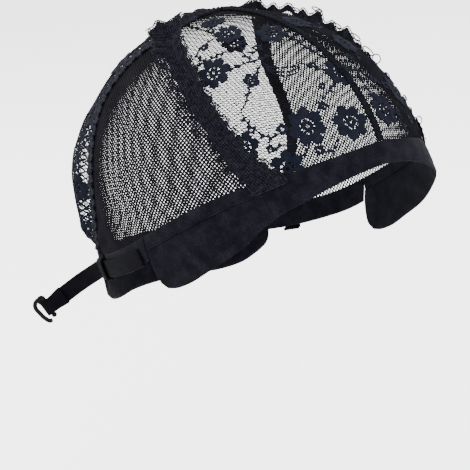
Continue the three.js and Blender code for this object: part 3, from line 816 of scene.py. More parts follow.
def square_cells(columns, rows, pitch):
    """A net of square holes, turned on its corner."""
    bm = bmesh.new()
    bmesh.ops.create_grid(bm, x_segments=columns, y_segments=rows, size=0.5)
    bmesh.ops.scale(bm, vec=(columns * pitch, rows * pitch, 1), verts=bm.verts[:])
    corner_up = Matrix.Rotation(math.radians(45), 3, "Z")
    bmesh.ops.rotate(bm, cent=(0, 0, 0), matrix=corner_up, verts=bm.verts[:])
    return bm


def hex_cells(columns, rows, pitch):
    """A net of six-sided holes, from a grid whose every second upright is taken out."""
    bm = bmesh.new()
    bmesh.ops.create_grid(bm, x_segments=columns, y_segments=rows, size=0.5)
    side = pitch / math.sqrt(3)
    spare = []
    for edge in bm.edges:
        start, end = edge.verts
        if abs(start.co.x - end.co.x) < 0.1 / columns:
            column = round((start.co.x + 0.5) * columns)
            row = round((min(start.co.y, end.co.y) + 0.5) * rows)
            if (column + row) % 2 and 0 < column < columns:
                spare.append(edge)
    for vert in bm.verts:
        column = round((vert.co.x + 0.5) * columns)
        row = round((vert.co.y + 0.5) * rows)
        zigzag = side / 4 if (column + row) % 2 else -side / 4
        vert.co = ((column - columns / 2) * pitch / 2, (row - rows / 2) * 1.5 * side + zigzag, 0)
    bmesh.ops.dissolve_edges(bm, edges=spare, use_verts=False, use_face_split=False)
    return bm


THREAD_FLATNESS = 0.5
NET_MARGIN = 1.2 * MM
SIDE_NET_MARGIN = 1.4 * MM

# Charts of the nets: their middle, their roll in degrees, and columns and rows of cells.
Lay = namedtuple("Lay", "middle roll columns rows")
FRONT_LAY = Lay(Spot(38, 46), 12, 190, 130)
SIDE_LAY = Lay(Spot(92, 16), -14, 110, 110)
BACK_LAY = Lay(Spot(180, 22), 0, 170, 170)
FRONT_UNEVEN = 0.12 * MM
CORNER_FOLD = 0.9 * MM
CORNER_FOLD_RUN = (0.12, 0.5)
CORNER_FOLD_TURNS = 34


def lay_net(bm, form, chart, border, lift_at, thread):
    """Cut a flat net to its outline, lay it on the cap and give its threads their thickness."""
    xs, ys = zip(*border)
    low_x, high_x = min(xs), max(xs)
    low_y, high_y = min(ys), max(ys)
    outside = []
    for face in bm.faces:
        middle = face.calc_center_median()
        within = low_x < middle.x < high_x and low_y < middle.y < high_y
        if not within or not inside(border, middle.x, middle.y):
            outside.append(face)
    bmesh.ops.delete(bm, geom=outside, context="FACES")
    to_threads(bm, thread)
    for vert in bm.verts:
        direction = chart.direction(vert.co.x, vert.co.y)
        vert.co = form.point(direction, lift_at(direction) + vert.co.z * THREAD_FLATNESS)


class CAP_OT_front_net(bpy.types.Operator):
    """Build the fine six-sided net of the front lace"""

    bl_idname = "cap.front_net"
    bl_label = "Front Net"

    def execute(self, context):
        sizes = context.scene.cap_sizes
        nets = context.scene.cap_nets
        form = Form(sizes)
        for label, side in SIDES:
            chart = Chart(form, towards(FRONT_LAY.middle, side), math.radians(FRONT_LAY.roll) * side)
            border = outline(chart, [
                (middle_line, 0, 1),
                (side_seam(CROWN_SEAM, side), 0, 1),
                (side_seam(FRONT_SEAM, side), 1, 0),
                (side_seam(BAND_TOP, side), 1, 0),
            ], NET_MARGIN)
            bm = hex_cells(FRONT_LAY.columns, FRONT_LAY.rows, nets.front_pitch)

            def lift_at(direction):
                return sizes.cloth_lift + FRONT_UNEVEN * noise.noise(direction * 9)

            lay_net(bm, form, chart, border, lift_at, nets.front_thread)
            piece(f"front_net_{label}", bm, cloth("lace_thread"), [f"front_lace_{label}"])
        return {"FINISHED"}


class CAP_OT_side_nets(bpy.types.Operator):
    """Build the open nets over the ears"""

    bl_idname = "cap.side_nets"
    bl_label = "Side Nets"

    def execute(self, context):
        sizes = context.scene.cap_sizes
        nets = context.scene.cap_nets
        form = Form(sizes)
        for label, side in SIDES:
            chart = Chart(form, towards(SIDE_LAY.middle, side), math.radians(SIDE_LAY.roll) * side)
            border = outline(chart, [
                (side_seam(NET_FOOT, side), 0, 1),
                (side_seam(REAR_SEAM, side), 0, 1),
                (side_seam(FRONT_SEAM, side), 1, 0),
            ], SIDE_NET_MARGIN)
            bm = square_cells(SIDE_LAY.columns, SIDE_LAY.rows, nets.side_pitch)
            corner = towards(NAPE_CORNER, side)
            thread = nets.side_thread if side == RIGHT else nets.far_thread

            def lift_at(direction):
                near = 1 - smooth((direction - corner).length, *CORNER_FOLD_RUN)
                fold = math.sin(CORNER_FOLD_TURNS * (direction.y * 0.8 + direction.z)) * 0.5 + 0.5
                return sizes.cloth_lift + CORNER_FOLD * near * fold

            lay_net(bm, form, chart, border, lift_at, thread)
            piece(f"side_mesh_{label}", bm, cloth("net_thread"), [f"side_net_{label}"])
        return {"FINISHED"}


class BackLift:
    """How far the loose back lace stands off the hollow in any direction."""

    FLAT_MARGIN = 4.5 * MM
    BULGE_RUN = 9 * MM
    HALF_WIDTH = 62 * MM
    FOLDS = 5
    CRUMPLE = 0.5 * MM
    STEPS = 60

    def __init__(self, sizes):
        self.sizes = sizes
        direction = coons(
            side_seam(REAR_SEAM, RIGHT), side_seam(REAR_SEAM, LEFT),
            cross_seam(NAPE_TOP), cross_seam(CROWN_SEAM))
        self.tree = kdtree.KDTree((self.STEPS + 1) ** 2)
        self.shares = []
        for column in range(self.STEPS + 1):
            for row in range(self.STEPS + 1):
                s, t = column / self.STEPS, row / self.STEPS
                self.tree.insert(direction(s, t), len(self.shares))
                self.shares.append((s, t))
        self.tree.balance()

    def __call__(self, direction):
        near = self.tree.find_n(direction, 4)
        weights = [1 / (distance + 1e-6) for _, _, distance in near]
        total = sum(weights)
        s = sum(self.shares[index][0] * weight for (_, index, _), weight in zip(near, weights)) / total
        t = sum(self.shares[index][1] * weight for (_, index, _), weight in zip(near, weights)) / total
        from_seam = self.HALF_WIDTH * (1 - abs(2 * s - 1))
        spread = smooth(from_seam, self.FLAT_MARGIN, self.FLAT_MARGIN + self.BULGE_RUN)
        loose = smooth(t, 0.0, 0.2) * (1 - smooth(t, 0.3, 0.58))
        folds = self.sizes.back_fold * math.sin(2 * math.pi * self.FOLDS * s)
        crumple = self.CRUMPLE * noise.noise(direction * 7 + Vector((3, 1, 4)))
        return self.sizes.cloth_lift + spread * loose * (self.sizes.back_bulge + folds) + spread * crumple


class CAP_OT_back_lace(bpy.types.Operator):
    """Build the loose net from the crown down to the nape"""

    bl_idname = "cap.back_lace"
    bl_label = "Back Lace"

    def execute(self, context):
        sizes = context.scene.cap_sizes
        nets = context.scene.cap_nets
        form = Form(sizes)
        lift = BackLift(sizes)
        chart = Chart(form, towards(BACK_LAY.middle))
        border = outline(chart, [
            (side_seam(REAR_SEAM, RIGHT), 0, 1),
            (cross_seam(CROWN_SEAM), 0, 1),
            (side_seam(REAR_SEAM, LEFT), 1, 0),
            (cross_seam(NAPE_TOP), 1, 0),
        ], NET_MARGIN, 40)
        bm = square_cells(BACK_LAY.columns, BACK_LAY.rows, nets.back_pitch)
        lay_net(bm, form, chart, border, lift, nets.back_thread)
        piece("back_net", bm, cloth("lace_thread"), ["back_lace"])
        return {"FINISHED"}


# Lace flowers, buds and vines

FLOWER_RINGS = (0.0, 0.1, 0.29, 0.43, 0.6, 0.78, 0.9, 1.0)
FLOWER_HEART = 0
FLOWER_EYELETS = 2
EYELET_COUNT = 8
EYELET_SHARE = 0.6
PETAL_COLUMNS = 12


def flower(bm, form, row, lift_at):
    """A ragged flower with a ring of eyelets round its middle."""
    chart = Chart(form, towards(Spot(row.turn, row.rise)), math.radians(row.turn * 7 + row.rise * 3))
    columns = row.petals * PETAL_COLUMNS
    bands = len(FLOWER_RINGS) - 1
    radius = row.size * MM / 2

    def place(s, t):
        angle = 2 * math.pi * s
        ring = FLOWER_RINGS[round(t * bands)]
        petal = abs(math.cos(row.petals * angle / 2))
        teeth = 0.05 * petal * math.cos(3 * row.petals * angle)
        around = Vector((math.cos(angle), math.sin(angle), row.turn))
        ragged = 0.1 * noise.noise(around * 2) + 0.07 * noise.noise(around * 6)
        edge = 0.72 + 0.32 * petal ** 0.7 + teeth + ragged
        reach = radius * ring * mix(1.0, edge, smooth(ring, 0.4, 0.95))
        direction = chart.direction(reach * math.cos(angle), reach * math.sin(angle))
        ruck = 0.12 * MM * math.cos(row.petals * angle) * ring
        return form.point(direction, lift_at(direction) + ruck)

    verts = grid(bm, columns, bands, place)
    uv_layer = bm.loops.layers.uv.verify()
    holes = []
    for face in {face for vert in verts for face in vert.link_faces}:
        along = sum(loop[uv_layer].uv.x for loop in face.loops) / 4 * EYELET_COUNT
        band = int(sum(loop[uv_layer].uv.y for loop in face.loops) / 4 * bands)
        if band == FLOWER_HEART or band == FLOWER_EYELETS and along % 1 < EYELET_SHARE:
            holes.append(face)
        for loop in face.loops:
            loop[uv_layer].uv *= radius * 4
    bmesh.ops.delete(bm, geom=holes, context="FACES")
    bmesh.ops.remove_doubles(bm, verts=[vert for vert in verts if vert.is_valid], dist=1e-6)


def ring(bm, form, row, lift_at):
    """A small four-cornered bud with an open middle."""
    chart = Chart(form, towards(Spot(row.turn, row.rise)), math.radians(row.turn * 5))
    radius = row.size * MM / 2

    def place(s, t):
        angle = 2 * math.pi * s
        edge = 0.85 + 0.35 * math.cos(2 * angle) ** 2 + 0.06 * math.cos(9 * angle)
        reach = radius * mix(0.36, edge, t)
        direction = chart.direction(reach * math.cos(angle), reach * math.sin(angle))
        return form.point(direction, lift_at(direction))

    verts = grid(bm, 24, 2, place, (radius * 6, radius))
    bmesh.ops.remove_doubles(bm, verts=verts, dist=1e-6)


# Coarse diamonds in the back lace along its right rear seam: turns and rises that they fill.
BORDER_TURNS = (-119, -131)
BORDER_RISES = (-25, 36)
BORDER_SLOPE = 8
BORDER_STEPS = 26
LEAF_PITCH = 3.6 * MM
LEAF_REACH = 1.7 * MM
LEAF_GROUP = 9


def vine(bm, form, rows, width, lift_at, teeth=True):
    """A thin vine with small pointed leaves on either side."""
    line = free_line(rows)
    whole = line_length(form, line)
    columns = max(8, round(whole / (0.4 * MM)))
    frames = [line_frame(form, line, column / columns) for column in range(columns + 1)]

    def place(s, t):
        column = round(s * columns)
        edge = 2 * t - 1
        half = width / 2
        if teeth:
            leaf = (s * whole / LEAF_PITCH + (0.35 if edge > 0 else 0.0)) % 1.0
            half += LEAF_REACH * max(0.0, 1 - leaf * 2.2) * (1 if (column // LEAF_GROUP) % 3 else 0.0)
        taper = min(1.0, 6 * s + 0.25, 6 * (1 - s) + 0.25)
        direction = beside(frames[column], edge * half * taper)
        return form.point(direction, lift_at(direction))

    grid(bm, columns, 2, place, (whole, width))


class CAP_OT_lace_flowers(bpy.types.Operator):
    """Work the flowers, buds and vines into the front and back lace"""

    bl_idname = "cap.lace_flowers"
    bl_label = "Lace Flowers"

    def execute(self, context):
        sizes = context.scene.cap_sizes
        nets = context.scene.cap_nets
        form = Form(sizes)
        back = BackLift(sizes)
        above = nets.motif_height

        def front_lift(direction):
            return sizes.cloth_lift + above

        def back_lift(direction):
            return back(direction) + above

        bm = bmesh.new()
        for row in FRONT_FLOWERS:
            flower(bm, form, row, front_lift)
        for row in FRONT_RINGS:
            ring(bm, form, row, front_lift)
        for rows in FRONT_VINES:
            vine(bm, form, rows, nets.vine_width, front_lift)
        for shift in (0.0, 1.6, 3.4):
            rows = [Spot(row.turn, row.rise + shift * (1 - 0.5 * abs(index - 2) / 2))
                    for index, row in enumerate(CRESCENT)]
            vine(bm, form, rows, nets.vine_width * 0.8, front_lift, teeth=False)
        thicken(bm, nets.motif_thickness)
        piece("front_flowers", bm, cloth("lace_flower"))

        bm = bmesh.new()
        for row in BACK_FLOWERS:
            flower(bm, form, row, back_lift)
        for rows in BACK_VINES:
            vine(bm, form, rows, nets.vine_width, back_lift)
        for step in range(BORDER_STEPS):
            foot = mix(*BORDER_RISES, step / BORDER_STEPS)
            for start, end in ((0, BORDER_SLOPE), (BORDER_SLOPE, 0)):
                rows = [Spot(BORDER_TURNS[0], foot + start), Spot(BORDER_TURNS[1], foot + end)]
                vine(bm, form, rows, nets.border_thread, back_lift, teeth=False)
        thicken(bm, nets.motif_thickness)
        piece("back_flowers", bm, cloth("lace_flower"))
        return {"FINISHED"}


# Ruffles and trims

# Crumples of gathered lace: the distance between them and their height.
Crumple = namedtuple("Crumple", "pitch height")
CRUMPLES = [Crumple(3.4 * MM, 0.55 * MM), Crumple(1.6 * MM, 0.3 * MM)]


BACKING_ROWS = 10
BACKING_THICKNESS = 0.35 * MM
LACE_ABOVE = 0.7 * MM
PICOT_PARTS = 6
LOOP_PARTS = 18


class Gathers:
    """Offsets and heights over a gathered edging along one seam."""

    SHOULDER_CURL = 1.4
    EDGE_SHIFT = 0.6 * math.pi
    EDGE_SWING = 0.7 * MM
    RAGGED = 0.5 * MM
    RAGGED_PITCH = 2.2 * MM
    CORNER_FROM = 0.9

    def __init__(self, form, line, foot, head, lift_share, seat, sizes, seed, corner_draw=0.0):
        self.length = line_length(form, line)
        self.from_share = foot / self.length
        self.to_share = 1 - head / self.length
        self.span = (self.to_share - self.from_share) * self.length
        self.waves = max(1, round(self.span / sizes.wave_length))
        self.wave_length = self.span / self.waves
        self.lift_share = lift_share
        self.seat = seat
        self.sizes = sizes
        self.seed = seed
        self.corner_draw = corner_draw

    def along(self, s):
        return mix(self.from_share, self.to_share, s) * self.length

    def wave(self, s, edge):
        phase = 2 * math.pi * self.along(s) / self.wave_length
        phase += 1.6 * noise.noise(Vector((s * self.waves * 0.7, self.seed, 0)))
        return math.sin(phase + (self.EDGE_SHIFT if edge > 0 else 0.0))

    def offset(self, s, edge):
        flare = abs(edge) ** self.SHOULDER_CURL
        along = self.along(s)
        ragged = self.RAGGED * noise.noise(Vector((along / self.RAGGED_PITCH, self.seed, edge)))
        sizes = self.sizes
        scallop = sizes.scallop_depth * math.sqrt(abs(math.sin(math.pi * along / sizes.scallop)))
        reach = sizes.width / 2 + flare * (self.EDGE_SWING * self.wave(s, edge) + ragged + scallop)
        corner = smooth(s, self.CORNER_FROM, 1.0) ** 2 if edge > 0 else 0.0
        return edge * reach * (1 - self.corner_draw * corner)

    def height(self, s, edge):
        sizes = self.sizes
        along = self.along(s)
        flare = abs(edge) ** self.SHOULDER_CURL
        uneven = 1 + 0.6 * noise.noise(Vector((s * self.waves, self.seed + 5, edge)))
        large = sizes.lift + sizes.wave_height * uneven * self.wave(s, edge)
        turn = 2 * math.pi * along / sizes.puff_length + self.seed
        puff = sizes.puff_height * (0.5 + 0.5 * math.sin(turn))
        across = edge * sizes.width / 2
        crumple = sum(
            row.height * noise.noise(Vector((along / row.pitch, across / row.pitch, self.seed)))
            for row in CRUMPLES)
        stand = flare * self.lift_share(along / self.length, edge) * (large + puff)
        return self.seat(along) + stand + crumple


def ruffle(form, line, gathers, sizes, name, replaced, seed, dense, loose_loops=()):
    """A gathered lace edging: a dense layer below, pinholed lace on it, and loops on its edges."""
    columns = round(gathers.span / sizes.backing_step)
    bm = bmesh.new()

    def dense_edge(s, t):
        low, high = dense(s)
        return mix(low, high, t)

    backing = strip_place(
        form, line, gathers.from_share, gathers.to_share, columns,
        lambda s, t: gathers.offset(s, dense_edge(s, t)),
        lambda s, t: gathers.height(s, dense_edge(s, t)))
    grid(bm, columns, BACKING_ROWS, backing, (gathers.span, sizes.width))
    thicken(bm, BACKING_THICKNESS)
    piece(f"{name}_backing", bm, cloth("ruffle_cloth"))

    columns = round(gathers.span / sizes.lace_pitch)
    rows = round(sizes.width / sizes.lace_pitch)
    bm = bmesh.new()
    lace = strip_place(
        form, line, gathers.from_share, gathers.to_share, columns,
        lambda s, t: gathers.offset(s, 2 * t - 1) + lace_shift(s, t, columns, seed),
        lambda s, t: gathers.height(s, 2 * t - 1) + LACE_ABOVE)
    grid(bm, columns, rows, lace, (gathers.span, sizes.width))
    to_threads(bm, sizes.lace_thread)
    piece(f"{name}_lace", bm, cloth("ruffle_thread"), [replaced])

    chance = random.Random(seed)
    bm = bmesh.new()
    for edge in (-1, 1):
        count = round(gathers.span / sizes.scallop)
        for index in range(count):
            reach = chance.uniform(0.3, 0.7) * MM
            if chance.random() < 0.06:
                reach = chance.uniform(1.0, 1.6) * MM
            points = []
            for part in range(PICOT_PARTS + 1):
                share = part / PICOT_PARTS
                s = min((index + share) / count, 1.0)
                bow = math.sin(math.pi * share)
                line_at = line_frame(form, line, mix(gathers.from_share, gathers.to_share, s))
                offset = gathers.offset(s, edge) + edge * bow * reach
                lift = gathers.height(s, edge) + LACE_ABOVE + 0.2 * bow * reach
                points.append(form.point(beside(line_at, offset), lift))
            tube(bm, points, sizes.picot_thread / 2, 3, line_at.out)
    for loop in loose_loops:
        stray_loop(bm, form, line, gathers, sizes, loop)
    piece(f"{name}_loops", bm, cloth("ruffle_thread"))

    bm = bmesh.new()
    stitches(bm, form, line, 0.0, lambda share: gathers.seat(share * gathers.length) + 1.3 * MM,
             gathers.from_share, gathers.to_share, 0.8 * MM, 1.8 * MM, 0.2 * MM)
    piece(f"{name}_stitches", bm, cloth("ruffle_thread"))


def lace_shift(s, t, columns, seed):
    """Uneven rows of pinholes, so that the edging doesn't look like a grid."""
    return 0.3 * MM * noise.noise(Vector((s * columns * 0.5, t * 9, seed)))


# Stray loops of thread: share along the seam, edge, and run and reach in millimetres.
Loop = namedtuple("Loop", "share edge run reach")
LEFT_LOOPS = [
    Loop(0.05, 1, 4.5, 2.4), Loop(0.2, 1, 3, 1.2), Loop(0.33, 1, 3.5, 1.4), Loop(0.42, 1, 4.4, 4.2),
    Loop(0.47, 1, 6.5, 2.2), Loop(0.55, 1, 5.5, 1.9), Loop(0.64, 1, 5, 1.5), Loop(0.74, 1, 5.5, 1.6),
    Loop(0.83, 1, 4, 1.2), Loop(0.3, -1, 4, 1.6), Loop(0.58, -1, 4.5, 1.8),
]
CROWN_LOOPS = [Loop(0.2, -1, 4, 1.8), Loop(0.27, -1, 3, 1.4)]


def stray_loop(bm, form, line, gathers, sizes, loop):
    line_at = line_frame(form, line, mix(gathers.from_share, gathers.to_share, loop.share))
    offset = gathers.offset(loop.share, loop.edge)
    base = form.point(beside(line_at, offset), gathers.height(loop.share, loop.edge) + LACE_ABOVE)
    away = (line_at.across * loop.edge * 0.6 + line_at.out * 0.8).normalized()
    run = line_at.forward * (loop.run * MM / 2)
    reach = away * (loop.reach * MM / 2)
    points = []
    for part in range(LOOP_PARTS):
        angle = 2 * math.pi * part / LOOP_PARTS
        points.append(base + reach * (0.8 - math.cos(angle)) + run * math.sin(angle))
    tube(bm, points, sizes.loop_thread / 2, 4, run.cross(reach).normalized(), closed=True)


# Where only a rim of the left ruffle is dense, and where the right one widens to its ends.
RIM_SHARE = 0.86
RIM_RUN = 0.05
RIM_DENSE_FROM = 0.74
EDGE_SCALLOPS = 21
EDGE_SCALLOP = 0.16
EDGE_INWARD = 0.1
TEMPLE_WIDER = 0.3
TEMPLE_RUN = (0.12, 0.34)
CROWN_WIDER = 0.48
CROWN_RUN = (0.76, 0.86)


def far_dense(sizes, s):
    """Where the wearer's left ruffle is dense; near its crown end only a rim is left of it."""
    rim_only = math.exp(-((s - RIM_SHARE) / RIM_RUN) ** 2)
    return mix(sizes.far_dense_from, RIM_DENSE_FROM, rim_only), 1.0


def near_dense(sizes, s):
    """Where the wearer's right ruffle is dense, with scallops towards the lace."""
    scallop = EDGE_SCALLOP * math.sqrt(abs(math.sin(math.pi * s * EDGE_SCALLOPS))) - EDGE_INWARD
    wider = TEMPLE_WIDER * (1 - smooth(s, *TEMPLE_RUN)) + CROWN_WIDER * smooth(s, *CROWN_RUN)
    return -sizes.lace_side - scallop, sizes.net_side + wider


# How far a ruffle's edges stand up: along the crown from the wearer's right to the left, on the
# side towards the back and on the front side, and up the left side from the temple.
Rise = namedtuple("Rise", "share height")
CROWN_BACK_RISES = [
    Rise(0, 0.3), Rise(0.1, 0.1), Rise(0.3, 0.45), Rise(0.42, 0.4),
    Rise(0.58, 0.05), Rise(0.7, 0.4), Rise(1, 0.5)]
CROWN_FRONT_RISES = [Rise(0, 0.05), Rise(0.68, 0.05), Rise(0.82, 1.0), Rise(1, 1.1)]
LEFT_RISES = [
    Rise(0, 0.05), Rise(0.35, 0.05), Rise(0.64, 1.35), Rise(0.8, 1.45), Rise(0.9, 1.05), Rise(1, 1.1)]
RIGHT_RISES = [
    Rise(0, 0.25), Rise(0.25, 0.25), Rise(0.75, 1), Rise(0.84, 1), Rise(0.93, 1.0), Rise(1, 0.7)]
RIGHT_FRONT_RISES = RIGHT_RISES[:4] + [Rise(1, 0.3)]


def rise_at(rises, share):
    for before, after in zip(rises, rises[1:]):
        if share <= after.share:
            return mix(before.height, after.height, smooth(share, before.share, after.share))
    return rises[-1].height


def side_rise(side, share, edge):
    if side == LEFT:
        return rise_at(LEFT_RISES, share)
    return rise_at(RIGHT_RISES if edge > 0 else RIGHT_FRONT_RISES, share)


# How each ruffle sits: height of its seam, extra height at its crown end, seeds of its waves
# and of its lace, and how far its back corner is drawn in.
Setting = namedtuple("Setting", "height end_lift wave_seed lace_seed corner_draw")
SETTINGS = {RIGHT: Setting(1.4 * MM, 3.8 * MM, 11, 3, 0.6), LEFT: Setting(1.0 * MM, 0.0, 47, 8, 0.0)}
CROWN_SETTING = Setting(1.0 * MM, 0.0, 23, 5, 0.0)
CROWN_INSET = 4.4 * MM
CROWN_DENSE = (-0.9, 1.0)
END_LIFT_FROM = 13 * MM
END_LIFT_TO = 2 * MM


class CAP_OT_ruffles(bpy.types.Operator):
    """Gather the lace edgings over the seams"""

    bl_idname = "cap.ruffles"
    bl_label = "Ruffles"

    def execute(self, context):
        cap = context.scene.cap_sizes
        sizes = context.scene.cap_ruffles
        bands = context.scene.cap_bands
        form = Form(cap)
        over_band = bands.casing_thickness - 1.0 * MM
        for label, side in SIDES:
            line = side_seam(RUFFLE_SEAM if side == RIGHT else FRONT_SEAM, side)
            setting = SETTINGS[side]
            whole = line_length(form, line)

            def side_seat(along):
                over_casing = over_band * (1 - smooth(along, 0, sizes.width))
                end = smooth(along, whole - END_LIFT_FROM, whole - END_LIFT_TO)
                return setting.height + over_casing + setting.end_lift * end

            gathers = Gathers(
                form, line, 0.5 * MM, 0.0, lambda share, edge: side_rise(side, share, edge),
                side_seat, sizes, setting.wave_seed, setting.corner_draw)
            dense = near_dense if side == RIGHT else far_dense
            ruffle(form, line, gathers, sizes, f"side_ruffle_{label}_edging", f"side_ruffle_{label}",
                   setting.lace_seed, lambda s: dense(sizes, s), () if side == RIGHT else LEFT_LOOPS)
        line = cross_seam(CROWN_SEAM)
        gathers = Gathers(
            form, line, CROWN_INSET, CROWN_INSET,
            lambda share, edge: rise_at(CROWN_BACK_RISES if edge > 0 else CROWN_FRONT_RISES, share),
            lambda along: CROWN_SETTING.height, sizes, CROWN_SETTING.wave_seed)
        ruffle(form, line, gathers, sizes, "crown_ruffle_edging", "crown_ruffle",
               CROWN_SETTING.lace_seed, lambda s: CROWN_DENSE, CROWN_LOOPS)
        return {"FINISHED"}


class CAP_OT_trims(bpy.types.Operator):
    """Lay the narrow trims over the rear seams and the tape over the middle seam"""

    bl_idname = "cap.trims"
    bl_label = "Trims"

    FOOT_INSET = 2.4 * MM
    CROWN_INSET = 7.4 * MM
    FOOT_WIDTH = 4.6 * MM
    CROWN_WIDTH = 7.4 * MM
    TRIM_STEP = 0.75 * MM
    TRIM_WAVE = 6 * MM
    TRIM_GATHER = 2.1 * MM
    TRIM_THICKNESS = 0.7 * MM
    TAPE_THICKNESS = 0.8 * MM
    TAPE_COLUMNS = 150
    TAPE_STITCHES = 1.2 * MM

    def execute(self, context):
        cap = context.scene.cap_sizes
        sizes = context.scene.cap_ruffles
        form = Form(cap)
        for label, side in SIDES:
            line = side_seam(REAR_SEAM, side)
            whole = line_length(form, line)
            from_share, to_share = self.FOOT_INSET / whole, 1 - self.CROWN_INSET / whole
            columns = round((to_share - from_share) * whole / self.TRIM_STEP)

            def offset_at(s, t):
                width = mix(self.FOOT_WIDTH, self.CROWN_WIDTH, s)
                ragged = 0.35 * MM * noise.noise(Vector((s * whole / (1.6 * MM), side * 3, t * 2)))
                return (2 * t - 1) * (width / 2 + ragged)

            def lift_at(s, t):
                edge = abs(2 * t - 1)
                wave = math.sin(2 * math.pi * s * whole / self.TRIM_WAVE)
                uneven = 2 * noise.noise(Vector((s * 30, side, 0)))
                gather = math.sin(2 * math.pi * s * whole / self.TRIM_GATHER + uneven)
                return (1.6 + edge * 0.45 * (1 + wave) + 0.22 * (0.4 + edge) * gather) * MM

            bm = bmesh.new()
            place = strip_place(form, line, from_share, to_share, columns, offset_at, lift_at)
            grid(bm, columns, 10, place, (whole, 6 * MM))
            thicken(bm, self.TRIM_THICKNESS)
            piece(f"rear_seam_trim_{label}", bm, cloth("ruffle_cloth"), [f"rear_trim_{label}"])
            bm = bmesh.new()
            stitches(bm, form, line, 0.0, 2.0 * MM, from_share, to_share)
            piece(f"rear_seam_stitches_{label}", bm, cloth("ruffle_thread"))

        whole = line_length(form, middle_line)
        to_share = 1 - self.CROWN_INSET / whole
        columns = self.TAPE_COLUMNS

        def tape_offset(s, t):
            ragged = 0.12 * MM * noise.noise(Vector((s * 60, t * 3, 1)))
            return (2 * t - 1) * (sizes.tape_width / 2 + ragged)

        def tape_lift(s, t):
            edge = abs(2 * t - 1)
            return (1.5 + 0.3 * (1 - edge ** 4) + 0.1 * math.sin(s * whole / (0.35 * MM))) * MM

        bm = bmesh.new()
        place = strip_place(form, middle_line, 0.0, to_share, columns, tape_offset, tape_lift)
        grid(bm, columns, 8, place, (whole, sizes.tape_width))
        thicken(bm, self.TAPE_THICKNESS)
        piece("middle_tape", bm, cloth("tape_cloth"), ["centre_tape"])
        bm = bmesh.new()
        for offset in (-self.TAPE_STITCHES, self.TAPE_STITCHES):
            stitches(bm, form, middle_line, offset, 1.8 * MM, 0.005, to_share)
        piece("middle_tape_stitches", bm, cloth("seam_thread"))
        return {"FINISHED"}


# Bands, tabs and the nape

def temple_flare(sizes, side, from_temple, down):
    nearness = 1 - smooth(from_temple, 0, 0.7)
    return sizes.temple_flare * down * nearness if side > 0 else 0.0


# The casing takes this share of the temple's flare, and the ear tab takes the rest.
CASING_DROP = 0.38
LAP_RUN = (0.018, 0.042)


def dent(value, run):
    """A soft groove or ridge of the given run, at its full depth where the value is nought."""
    return math.exp(-(value / run) ** 2)


def panel_piece(name, kind, node_name, form, direction, columns, rows, low, high, relief):
    bm = bmesh.new()
    cloth_panel(bm, form, direction, columns, rows, low, high, relief)
    piece(name, bm, cloth(kind), [node_name])


